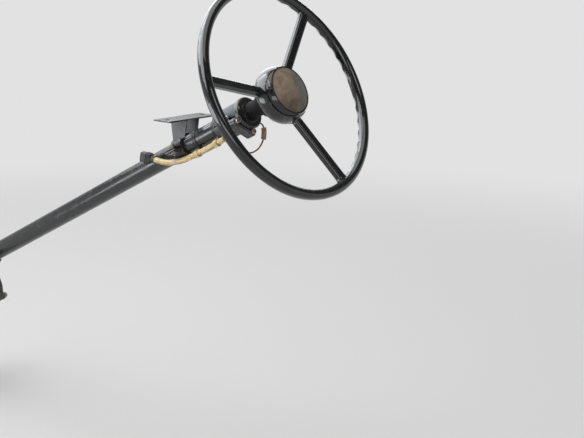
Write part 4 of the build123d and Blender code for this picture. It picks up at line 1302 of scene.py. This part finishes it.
@dataclass
class DirectionSwitch:
    """Switch drum with its screws and rivet, and the sleeve that clamps it on the column."""

    face_at: float = -105.0
    lug_face_at: float = -109.5
    lugs: tuple[Point, ...] = ((-36.8, -12.2), (-4.7, -37.1))
    screw_radius: float = 5.2
    screw_height: float = 3.2
    slot_width: float = 1.5
    slot_depth: float = 1.4
    slot_angles: tuple[float, ...] = (24.0, -38.0)
    rivet: Point = (-23.5, 11.0)
    rivet_dome: tuple[Point, ...] = ((ON_AXIS, 1.9), (1.6, 1.7), (2.7, 1.1), (3.2, 0.0), (ON_AXIS, 0.0))
    sleeve_ear: Point = (-33.0, 0.0)
    ear_half: float = 5.5
    ear_screws: tuple[float, ...] = (-134.0, -148.0)
    ear_head: tuple[Point, ...] = ((ON_AXIS, 0.0), (3.4, 0.0), (3.4, 1.4), (2.4, 2.3), (ON_AXIS, 2.5))
    ear_nut_across: float = 5.5
    ear_nut_height: float = 2.4
    ear_thread_radius: float = 1.6
    ear_thread_pitch: float = 0.7
    ear_thread_from: float = 2.2
    ear_thread_end: float = 4.0

    def build(self) -> None:
        """Dresses the solids and makes the screws, the rivet and the ears' screws."""
        dress(SWITCH_BLACK, "switch_drum")
        dress(SLEEVE_GREY, "switch_sleeve")
        self.screws()
        self.face_rivet()
        self.ear_screws_and_nuts()

    def screws(self) -> None:
        """Cheese-head screws with a sawn slot, on the lugs."""
        shape = Shape(COLUMN_FRAME)
        for (right, up), angle in zip(self.lugs, self.slot_angles):
            at = moved(right, up, self.lug_face_at) @ Matrix.Rotation(math.radians(angle), 4, "Z")
            self.slotted_head(shape, at)
        made = shape.piece("switch_screw_heads", SCREW_RUST, Body.COLUMN, rounding=0.35, sharp=28.0)
        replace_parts(made, "switch_screws")

    def slotted_head(self, shape: Shape, at: Matrix) -> None:
        """Adds a round head in two halves on a disc, with the slot between them.

        Args:
            shape: where it goes.
            at: its place, with the slot along x.
        """
        floor = self.screw_height - self.slot_depth
        disc = [(ON_AXIS, 0.0), (self.screw_radius, 0.0), (self.screw_radius, floor), (ON_AXIS, floor)]
        shape.turned(disc, at)
        half = self.slot_width / 2.0
        start = math.asin(half / self.screw_radius)
        arc = [polar(self.screw_radius, start + (math.pi - 2 * start) * step / 20) for step in range(21)]
        for hand in (1, -1):
            shape.plate([(x, hand * y) for x, y in arc], floor, self.screw_height, at)

    def face_rivet(self) -> None:
        """Domed rivet in the drum's face."""
        shape = Shape(COLUMN_FRAME).turned(self.rivet_dome, moved(*self.rivet, self.face_at), sides=28)
        shape.piece("switch_face_rivet", SWITCH_BLACK, Body.COLUMN, sharp=60.0)

    def ear_screws_and_nuts(self) -> None:
        """Two clamping screws with their nuts through the sleeve's ears."""
        shape = Shape(COLUMN_FRAME)
        right, up = self.sleeve_ear
        for along in self.ear_screws:
            top = aimed((right, up + self.ear_half, along), (0, 1, 0))
            shape.turned(self.ear_head, top, sides=28)
            foot = aimed((right, up - self.ear_half, along), (0, -1, 0), spin=12.0)
            shape.hexagon(self.ear_nut_across, 0.0, self.ear_nut_height, foot, both=True)
            shape.thread(self.ear_thread_radius, self.ear_thread_pitch, self.ear_thread_from,
                         self.ear_thread_end, foot)
        shape.piece("sleeve_ear_screw", ZINC_COLUMN, Body.COLUMN, sharp=28.0)


@dataclass
class ColumnTube:
    """Column jacket with the upper bush, and the shaft that turns inside it."""

    def build(self) -> None:
        """Dresses the solids."""
        dress(COLUMN_BLACK, "column_jacket")
        dress(BRONZE, "upper_bush")
        dress(BARE_STEEL, "steering_shaft")


@dataclass
class DashClamp:
    """Bracket and strap that hold the column under the dash, with a rubber bush and two bolts."""

    along: float = -300.0
    bolt_out: float = 35.5
    grip: float = 3.5
    bolt: HexBolt = HexBolt(across=10.0, head=4.0, washer_radius=6.4, washer=1.1, spring_radius=5.3,
                            spring=1.5, shank=3.0)
    nut_across: float = 10.0
    nut_height: float = 5.0
    nut_bore: float = 2.9
    thread_radius: float = 2.95
    thread_pitch: float = 1.0
    bolt_end: float = 12.5
    plate_length: float = 44.0
    plate_thick: float = 3.0
    gusset_out: float = 17.0
    gusset_half: float = 1.25
    weld_inset: float = 2.0
    weld_radius: float = 1.5
    weld_ripple: float = 1.6

    def build(self) -> None:
        """Dresses the solids and makes the bolts and the welds."""
        dress(BRACKET_BLACK, "dash_bracket", "dash_strap")
        dress(RUBBER, "dash_bush")
        self.bolts()
        self.welds()

    def welds(self) -> None:
        """Weld beads along the gussets, under the dash plate."""
        shape = Shape(Matrix.Scale(MM, 4))
        top = DASH_TOP / MM
        for side in (-1, 1):
            for face in (-1, 1):
                across = top.y + side * self.gusset_out + face * self.gusset_half
                reach = self.plate_length / 2 - self.weld_inset
                ends = [Vector((top.x + end * reach, across, top.z - self.plate_thick)) for end in (-1, 1)]
                shape.bead(ends[0], ends[1], self.weld_radius, self.weld_ripple)
        shape.piece("dash_bracket_welds", WELD_STEEL, Body.COLUMN, sharp=60.0)

    def bolts(self) -> None:
        """Two bolts with their nuts through the clamp's ears."""
        shape = Shape(COLUMN_FRAME)
        for side in (-1, 1):
            top = aimed((side * self.bolt_out, self.grip, self.along), (0, 1, 0), spin=17.0 * side)
            self.bolt.add(shape, top)
            foot = aimed((side * self.bolt_out, -self.grip, self.along), (0, -1, 0), spin=41.0 * side)
            shape.hexagon(self.nut_across, 0.0, self.nut_height, foot, bore=self.nut_bore, both=True)
            shape.thread(self.thread_radius, self.thread_pitch, -2.0 * self.grip,
                         self.bolt_end - self.grip, foot)
        made = shape.piece("dash_clamp_hex_bolts", ZINC_COLUMN, Body.COLUMN, sharp=26.0)
        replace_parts(made, "dash_clamp_bolts")


@dataclass
class WiringLoom:
    """Sleeving with its clips and plug, and the two leads that come out of it."""

    plug_foot: Triple = (-37.0, 0.0, -357.0)
    plug_from: Triple = (-30.0, -17.0, -334.0)
    plug_reach: float = 30.0
    plug_recess: float = 1.5
    pin_pitch: float = 5.2
    pin_radius: float = 1.1
    pin_tip_radius: float = 0.6
    pin_tip: float = 0.4
    pin_foot: float = -0.5

    def build(self) -> None:
        """Dresses the solids and makes the plug's pins."""
        dress(SHEATH, "loom_sheath")
        dress(CLIP_TAPED, "loom_clips")
        dress(PLUG_BLACK, "loom_plug")
        dress(LEAD_BROWN, "switch_lead_long", "switch_lead_short")
        dress(LEAD_SLEEVE, "lead_sleeve")
        self.pins()

    def pins(self) -> None:
        """Six brass pins in the recess of the plug's end."""
        along = (Vector(self.plug_foot) - Vector(self.plug_from)).normalized()
        x_axis = (Vector((1, 0, 0)) - along * along.x).normalized()
        turn = Matrix((x_axis, along.cross(x_axis), along)).transposed().to_4x4()
        floor = Vector(self.plug_foot) + along * (self.plug_reach - self.plug_recess)
        at = Matrix.Translation(floor) @ turn
        tip = self.plug_recess
        pin = [(ON_AXIS, tip), (self.pin_tip_radius, tip), (self.pin_radius, tip - self.pin_tip),
               (self.pin_radius, self.pin_foot), (ON_AXIS, self.pin_foot)]
        shape = Shape(COLUMN_FRAME)
        for column in (-0.5, 0.5):
            for row in (-1, 0, 1):
                place = at @ moved(column * self.pin_pitch, row * self.pin_pitch, 0.0)
                shape.turned(pin, place, sides=18)
        shape.piece("plug_pins", PIN_BRASS, Body.COLUMN, sharp=30.0)


@dataclass
class SteeringGear:
    """Cast gear housing with its covers, caps, plugs, clamp and seal."""

    worm_up: float = 60.0
    worm_in: float = -52.0
    cover_face: float = -97.0
    cover_pcd: float = 96.0
    cover_first: float = 45.0
    cover_spin: float = 23.0
    end_face: float = -65.0
    end_pcd: float = 58.0
    end_spin: float = 31.0
    neck_bolt_up: float = 98.0
    neck_bolt_along: float = 102.0
    ear_half: float = 4.5
    cover_joint: float = -88.0
    cover_radius: float = 47.0
    cover_lobe: float = 10.0
    gasket_half: float = 0.4
    gasket_proud: float = 0.4
    cap_face: float = -107.0
    cap_across: float = 27.0
    cap_height: float = 13.0
    cap_flat_share: float = 0.58
    cap_dome_inset: float = 2.6
    cap_ring_out: float = 1.0
    filler_along: float = 24.0
    filler_face_up: float = 100.0
    filler_across: float = 19.0
    filler_height: float = 8.0
    filler_hex_from: float = 1.5
    filler_collar_out: float = 1.3
    filler_collar_side: float = 1.6
    filler_collar_top: float = 2.1
    filler_collar_slope: float = 0.8
    filler_ring_out: float = 1.5
    ring_thick: float = 1.5
    gland_face: float = -71.0
    gland_across: float = 17.0
    gland_height: float = 12.0
    gland_bore: float = 3.0
    gland_flat_share: float = 0.6
    gland_nose_inset: float = 1.8
    gland_nose_slope: float = 1.2
    cover_bolt: HexBolt = HexBolt()
    end_bolt: HexBolt = HexBolt(across=10.0, head=4.0, washer=0.0, spring_radius=5.3, spring=1.2, shank=3.0)
    neck_bolt: HexBolt = HexBolt(across=13.0, head=5.3, washer=0.0)
    neck_nut_height: float = 6.5
    neck_nut_bore: float = 3.9
    neck_thread_radius: float = 3.95
    neck_thread_pitch: float = 1.25
    neck_thread_end: float = 10.0

    def build(self) -> None:
        """Dresses the solids and makes the bolts, gasket, cap nut, filler plug, gland and their rings."""
        dress(CAST_PAINT, "gear_housing", "side_cover", "end_cover")
        dress(SHIM_STEEL, "end_shims")
        dress(BRACKET_BLACK, "neck_clamp")
        dress(RUBBER, "output_seal")
        self.side_bolts()
        self.end_bolts()
        self.clamp_bolt()
        self.gasket()
        self.adjuster()
        self.filler()
        self.gland()

    def gasket(self) -> None:
        """Card gasket that shows between the side cover and its seat."""
        outline = lobed(self.cover_radius + self.gasket_proud, self.cover_lobe + self.gasket_proud,
                        self.cover_pcd / 2, 4, self.cover_first)
        shape = Shape(GEAR_FRAME)
        shape.plate(outline, self.cover_joint - self.gasket_half, self.cover_joint + self.gasket_half)
        shape.piece("side_cover_gasket", GASKET, Body.COLUMN)

    def adjuster(self) -> None:
        """Domed cap nut over the adjuster, on its sealing ring."""
        at = aimed((0, 0, self.cap_face), (0, 0, -1), spin=11.0)
        flat = self.cap_flat_share * self.cap_height
        shape = Shape(GEAR_FRAME).hexagon(self.cap_across, self.ring_thick, flat, at, both=True)
        dome = self.cap_across / 2.0 - self.cap_dome_inset
        profile = [(dome, flat - SUNK)]
        for angle in (math.pi / 2 * step / 8 for step in range(9)):
            rise = (self.cap_height - flat) * math.sin(angle)
            profile.append((max(ON_AXIS, dome * math.cos(angle)), flat + rise))
        shape.turned(profile, at)
        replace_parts(shape.piece("adjuster_cap_nut", ZINC_GEAR, Body.COLUMN, sharp=26.0), "adjuster_cap")
        self.sealing_ring("adjuster_sealing_ring", self.cap_across / 2.0 + self.cap_ring_out, at)

    def filler(self) -> None:
        """Hexagon plug with its collar on a sealing ring."""
        at = aimed((self.filler_along, self.filler_face_up, self.worm_in), (0, 1, 0), spin=14.0)
        foot, collar = self.ring_thick, self.filler_across / 2.0 + self.filler_collar_out
        side, top = foot + self.filler_collar_side, foot + self.filler_collar_top
        shape = Shape(GEAR_FRAME)
        shape.hexagon(self.filler_across, foot + self.filler_hex_from, self.filler_height, at)
        shape.turned([(ON_AXIS, foot), (collar, foot), (collar, side),
                      (collar - self.filler_collar_slope, top), (ON_AXIS, top)], at)
        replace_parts(shape.piece("filler_hex_plug", ZINC_GEAR, Body.COLUMN, sharp=26.0), "filler_plug")
        self.sealing_ring("filler_sealing_ring", self.filler_across / 2.0 + self.filler_ring_out, at)

    def gland(self) -> None:
        """Bored hexagon with a round nose, where the horn's wire comes out of the column."""
        at = aimed((self.gland_face, self.worm_up, self.worm_in), (-1, 0, 0), spin=7.0)
        bore, top = self.gland_bore, self.gland_height
        flat, nose = self.gland_flat_share * top, self.gland_across / 2.0 - self.gland_nose_inset
        shape = Shape(GEAR_FRAME).hexagon(self.gland_across, 0.0, flat, at, bore=bore, both=True)
        shape.turned([(bore, flat - SUNK), (nose, flat - SUNK), (nose, top - self.gland_nose_slope),
                      (nose - self.gland_nose_slope, top), (bore + BORE_CHAMFER, top),
                      (bore, top - BORE_CHAMFER)], at, closed=True)
        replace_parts(shape.piece("horn_wire_hex_gland", ZINC_GEAR, Body.COLUMN, sharp=26.0), "horn_wire_gland")

    def sealing_ring(self, name: str, radius: float, at: Matrix) -> None:
        """Copper ring under a plug.

        Args:
            name: its name.
            radius: its outer radius.
            at: its place, with z out of the face it lies on.
        """
        round_edge = 0.35
        inner, top = radius - round_edge, self.ring_thick
        profile = [(ON_AXIS, 0.0), (inner, 0.0), (radius, round_edge), (radius, top - round_edge),
                   (inner, top), (ON_AXIS, top)]
        shape = Shape(GEAR_FRAME).turned(profile, at)
        shape.piece(name, COPPER_RING, Body.COLUMN, sharp=50.0)

    def side_bolts(self) -> None:
        """Four bolts of the side cover."""
        shape = Shape(GEAR_FRAME)
        for turn in range(4):
            angle = math.radians(self.cover_first + 90.0 * turn)
            place = (*polar(self.cover_pcd / 2, angle), self.cover_face)
            self.cover_bolt.add(shape, aimed(place, (0, 0, -1), spin=self.cover_spin * turn))
        shape.piece("side_cover_bolts", ZINC_GEAR, Body.COLUMN, sharp=26.0)

    def end_bolts(self) -> None:
        """Four bolts of the end cover."""
        shape = Shape(GEAR_FRAME)
        for turn in range(4):
            up, out = polar(self.end_pcd / 2, math.radians(90.0 * turn))
            place = (self.end_face, self.worm_up + up, self.worm_in + out)
            self.end_bolt.add(shape, aimed(place, (-1, 0, 0), spin=self.end_spin * turn))
        shape.piece("end_cover_bolts", ZINC_GEAR, Body.COLUMN, sharp=26.0)

    def clamp_bolt(self) -> None:
        """Pinch bolt with its nut through the ears of the neck clamp."""
        shape = Shape(GEAR_FRAME)
        place = (self.neck_bolt_along, self.neck_bolt_up)
        self.neck_bolt.add(shape, aimed((*place, self.worm_in - self.ear_half), (0, 0, -1), spin=9.0))
        out = aimed((*place, self.worm_in + self.ear_half), (0, 0, 1), spin=40.0)
        shape.hexagon(self.neck_bolt.across, 0.0, self.neck_nut_height, out, bore=self.neck_nut_bore,
                      both=True)
        shape.thread(self.neck_thread_radius, self.neck_thread_pitch, -2 * self.ear_half,
                     self.neck_thread_end, out)
        shape.piece("neck_clamp_bolt", ZINC_GEAR, Body.COLUMN, sharp=26.0)


@dataclass
class DropArm:
    """Drop arm on its splined shaft, with its nut and the ball for the drag link."""

    boss_face: float = 68.0
    thread_radius: float = 11.4
    thread_pitch: float = 1.5
    thread_from: float = 76.0
    thread_end: float = 86.8
    nut: CastleNut = CastleNut(across=36.0, height=15.0, bore=10.6, crown_radius=15.6, crown=5.6,
                               washer_radius=20.5)
    length: float = 165.0
    inner_face: float = 45.5
    outer_face: float = 64.5
    stud_thread_radius: float = 6.2
    stud_thread_pitch: float = 1.25
    stud_thread_proud: float = 3.0
    collar_radius: float = 12.5
    collar: float = 4.0
    collar_sunk: float = 0.3
    collar_slope: float = 0.8
    neck_radius: float = 7.0
    neck_fillet: float = 2.0
    ball_radius: float = 13.5
    ball_out: float = 24.0
    ball_cap: float = 76.0
    drill_mouth: float = 1.6
    drill_floor: float = 0.8
    drill_depth: float = 1.4
    stud_nut: CastleNut = CastleNut(across=24.0, height=11.0, bore=6.0, crown_radius=10.2, crown=4.2,
                                    washer_radius=13.5, washer=1.6, slot=3.6, pin_radius=1.1)

    def build(self) -> None:
        """Dresses the solids and makes the nuts, their split pins and the ball stud."""
        dress(ARM_FORGED, "drop_arm")
        dress(STUD_STEEL, "output_shaft")
        self.shaft_nut()
        self.ball()

    def shaft_nut(self) -> None:
        """Castle nut on the shaft, its pin, and the thread that shows beyond it."""
        at = moved(0, 0, self.boss_face)
        shape = Shape(ARM_FRAME)
        self.nut.add(shape, at)
        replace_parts(shape.piece("arm_castle_nut", ZINC_ARM, Body.ARM, rounding=0.3, sharp=26.0), "arm_nut")
        shape = Shape(ARM_FRAME)
        self.nut.add_pin(shape, at)
        shape.piece("arm_split_pin", ZINC_ARM, Body.ARM, sharp=60.0)
        shape = Shape(ARM_FRAME).thread(self.thread_radius, self.thread_pitch, self.thread_from,
                                        self.thread_end)
        shape.piece("arm_shaft_thread", STUD_STEEL, Body.ARM, sharp=50.0)

    def ball(self) -> None:
        """Ball on its neck and collar, with the castle nut behind the arm."""
        at = moved(0, -self.length, 0)
        middle = self.outer_face + self.ball_out
        start = math.acos(self.neck_radius / self.ball_radius)
        sweep = start + math.radians(self.ball_cap)
        steps = 26
        ball = [(self.ball_radius * math.cos(angle), middle + self.ball_radius * math.sin(angle))
                for angle in (sweep * step / steps - start for step in range(steps + 1))]
        top, floor = ball[-1][1], ball[-1][1] - self.drill_depth
        shoulder, foot = self.outer_face + self.collar, self.outer_face - self.collar_sunk
        fillet = [(self.neck_radius + self.neck_fillet * (1 - math.sin(angle)),
                   shoulder + self.neck_fillet * (1 - math.cos(angle)))
                  for angle in (math.pi / 2 * step / 5 for step in range(6))]
        profile = [(ON_AXIS, foot), (self.collar_radius, foot),
                   (self.collar_radius, shoulder - self.collar_slope),
                   (self.collar_radius - self.collar_slope, shoulder)]
        profile += fillet + ball + [(self.drill_mouth, top), (self.drill_floor, floor), (ON_AXIS, floor)]
        shape = Shape(ARM_FRAME).turned(profile, at, sides=56)
        shape.thread(self.stud_thread_radius, self.stud_thread_pitch, -self.inner_face,
                     self.stud_nut.height + self.stud_thread_proud - self.inner_face,
                     at @ Matrix.Rotation(math.pi, 4, "X"))
        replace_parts(shape.piece("ball_stud_turned", STUD_STEEL, Body.ARM, sharp=34.0), "ball_stud")
        turned = Matrix.Rotation(math.pi, 4, "X") @ Matrix.Rotation(0.6, 4, "Z")
        back = at @ moved(0, 0, self.inner_face) @ turned
        shape = Shape(ARM_FRAME)
        self.stud_nut.add(shape, back)
        shape.piece("stud_castle_nut", ZINC_ARM, Body.ARM, rounding=0.25, sharp=26.0)
        shape = Shape(ARM_FRAME)
        self.stud_nut.add_pin(shape, back)
        shape.piece("stud_split_pin", ZINC_ARM, Body.ARM, sharp=60.0)


@dataclass(frozen=True)
class Lamp:
    """Soft rectangular lamp that looks at the wheel, with a card that only gloss sees, as sky does."""

    name: str
    place: Triple
    size: Point
    glow: float
    card: float = 0.0
    card_behind: float = 0.03
    card_colour: Colour = (0.90, 0.95, 1.0)

    def build(self, target: Vector) -> None:
        """Hangs the lamp and its card.

        Args:
            target: the point they look at.
        """
        self.hang(self.name, target, self.glow)
        if self.card:
            card = self.hang(f"{self.name}_card", target, self.card)
            card.location += self.card_behind * Vector(self.place)
            card.data.color = self.card_colour
            card.visible_diffuse = False

    def hang(self, name: str, target: Vector, glow: float) -> bpy.types.Object:
        """Hangs one light and turns it to its target.

        Args:
            name: its name.
            target: the point it looks at.
            glow: how bright its face is.

        Returns:
            The light.
        """
        data = bpy.data.lights.new(name, "AREA")
        data.shape = "RECTANGLE"
        data.size, data.size_y = self.size
        data.energy = math.pi * glow * self.size[0] * self.size[1]
        made = bpy.data.objects.new(name, data)
        made.location = target + Vector(self.place)
        made.rotation_euler = (-Vector(self.place)).to_track_quat("-Z", "Y").to_euler()
        made.visible_camera = False
        bpy.context.scene.collection.objects.link(made)
        return made


def seen_rays(tree: bpy.types.NodeTree) -> Socket:
    """Share that is 1 for what the camera, a reflection or a glass sees, and 0 for the light itself.

    Args:
        tree: the node tree it is for.

    Returns:
        The share's socket.
    """
    rays = tree.nodes.new("ShaderNodeLightPath")
    found = rays.outputs["Is Camera Ray"]
    for kind in ("Is Glossy Ray", "Is Transmission Ray"):
        either = tree.nodes.new("ShaderNodeMath")
        either.operation = "MAXIMUM"
        tree.links.new(found, either.inputs[0])
        tree.links.new(rays.outputs[kind], either.inputs[1])
        found = either.outputs[0]
    return found


@dataclass
class Studio:
    """Pale floor, soft lamps and the camera at the open driver's door."""

    floor_gap: float = 0.06
    floor_radius: float = 40.0
    floor_colour: Colour = (0.80, 0.80, 0.795)
    floor_mottle: Colour = (0.775, 0.775, 0.77)
    far_glow: float = 0.76
    far_from: float = 0.9
    far_to: float = 3.6
    sky: Colour = (0.97, 0.985, 1.0)
    sky_top: float = 0.10
    sky_fade: Point = (0.04, 0.36)
    lamps: tuple[Lamp, ...] = (
        Lamp("overhead", (0.5, 0.4, 6.5), (7.0, 7.0), 2.1),
        Lamp("open_side", (1.72, 1.55, 1.75), (4.2, 2.4), 1.0, card=4.2),
        Lamp("windscreen", (2.25, -0.85, 1.45), (2.3, 2.1), 0.8, card=1.8),
        Lamp("far_door", (1.1, -2.1, 0.85), (1.8, 0.45), 0.9, card=3.0),
        Lamp("open_back", (-2.6, 0.4, 1.9), (1.6, 0.9), 2.8),
        Lamp("yard", (-1.95, 2.55, 0.06), (2.4, 0.8), 0.4, card=2.4),
        Lamp("ground_bounce", (1.12, 1.44, -0.49), (1.3, 0.5), 0.3, card=4.6),
    )
    camera_place: Triple = (-1.413319, 1.702104, 0.275942)
    camera_look: Triple = (0.61866893, -0.7517854, -0.22818297)
    camera_up: Triple = (0.1517756, -0.17060145, 0.97358067)
    lens_pixels: float = 1200.0
    frame_width: float = 584.0
    sensor: float = 36.0

    def build(self) -> None:
        """Makes the floor, the light and the camera."""
        self.floor()
        self.world()
        for lamp in self.lamps:
            lamp.build(WHEEL_CENTRE)
        self.camera()
        view = bpy.context.scene.view_settings
        view.view_transform = "Standard"

    def floor(self) -> None:
        """Wide pale disc a little under the lowest point."""
        low = CAD_BOX[0].z - self.floor_gap
        mesh = bmesh.new()
        bmesh.ops.create_circle(mesh, cap_ends=True, segments=96, radius=self.floor_radius)
        data = bpy.data.meshes.new("floor")
        mesh.to_mesh(data)
        mesh.free()
        made = bpy.data.objects.new("floor", data)
        middle = (CAD_BOX[0] + CAD_BOX[1]) / 2
        made.location = (middle.x, middle.y, low)
        bpy.context.scene.collection.objects.link(made)
        sheet = NodeSheet("pale_floor")
        coats = Coats(sheet, self.floor_colour, 0.7)
        place = sheet.node("ShaderNodeTexCoord").outputs["Object"]
        coats.over(sheet.patches(place, 1.6, 0.35, 0.7, detail=3.0), self.floor_mottle, share=0.25)
        coats.close(Specular_IOR_Level=0.0)
        away = sheet.node("ShaderNodeVectorMath", {0: place}, operation="LENGTH").outputs["Value"]
        share = sheet.times(sheet.ramped(away, self.far_from, self.far_to), seen_rays(sheet.tree))
        glow = sheet.node("ShaderNodeEmission", {"Color": (1.0, 1.0, 1.0), "Strength": self.far_glow})
        shaders = {0: share, 1: sheet.surface.outputs[0], 2: glow.outputs[0]}
        mixed = sheet.node("ShaderNodeMixShader", shaders)
        sheet.put(sheet.output.inputs["Surface"], mixed.outputs[0])
        data.materials.append(sheet.material)

    def world(self) -> None:
        """Light that is as pale as the far floor at the horizon and darker above."""
        world = bpy.data.worlds.new("sky_light")
        world.use_nodes = True
        tree = world.node_tree
        back = tree.nodes["Background"]
        back.inputs["Color"].default_value = (*self.sky, 1.0)
        split = tree.nodes.new("ShaderNodeSeparateXYZ")
        tree.links.new(tree.nodes.new("ShaderNodeTexCoord").outputs["Generated"], split.inputs[0])
        fade = tree.nodes.new("ShaderNodeMapRange")
        fade.interpolation_type = "SMOOTHSTEP"
        tree.links.new(split.outputs["Z"], fade.inputs[0])
        for number, value in enumerate((*self.sky_fade, self.far_glow, self.sky_top), start=1):
            fade.inputs[number].default_value = value
        tree.links.new(fade.outputs[0], back.inputs["Strength"])
        bpy.context.scene.world = world

    def camera(self) -> None:
        """Camera at the photograph's place, with its lens."""
        data = bpy.data.cameras.new("door_view")
        data.sensor_width = self.sensor
        data.lens = self.lens_pixels / self.frame_width * self.sensor
        data.clip_start, data.clip_end = 0.05, 60.0
        made = bpy.data.objects.new("door_view", data)
        back = -Vector(self.camera_look)
        up = Vector(self.camera_up)
        turn = Matrix((up.cross(back), up, back)).transposed()
        made.matrix_world = Matrix.Translation(WHEEL_CENTRE + Vector(self.camera_place)) @ turn.to_4x4()
        bpy.context.scene.collection.objects.link(made)
        bpy.context.scene.camera = made


def main() -> None:
    """Builds the studio and each sub-assembly in order."""
    logging.basicConfig(level=logging.INFO, format="%(message)s")
    Studio().build()
    for assembly in (SteeringWheel(), ColumnTube(), DirectionSwitch(), DashClamp(), WiringLoom(),
                     SteeringGear(), DropArm()):
        assembly.build()
        LOG.info("%s is built", type(assembly).__name__)


if __name__ == "__main__":
    main()
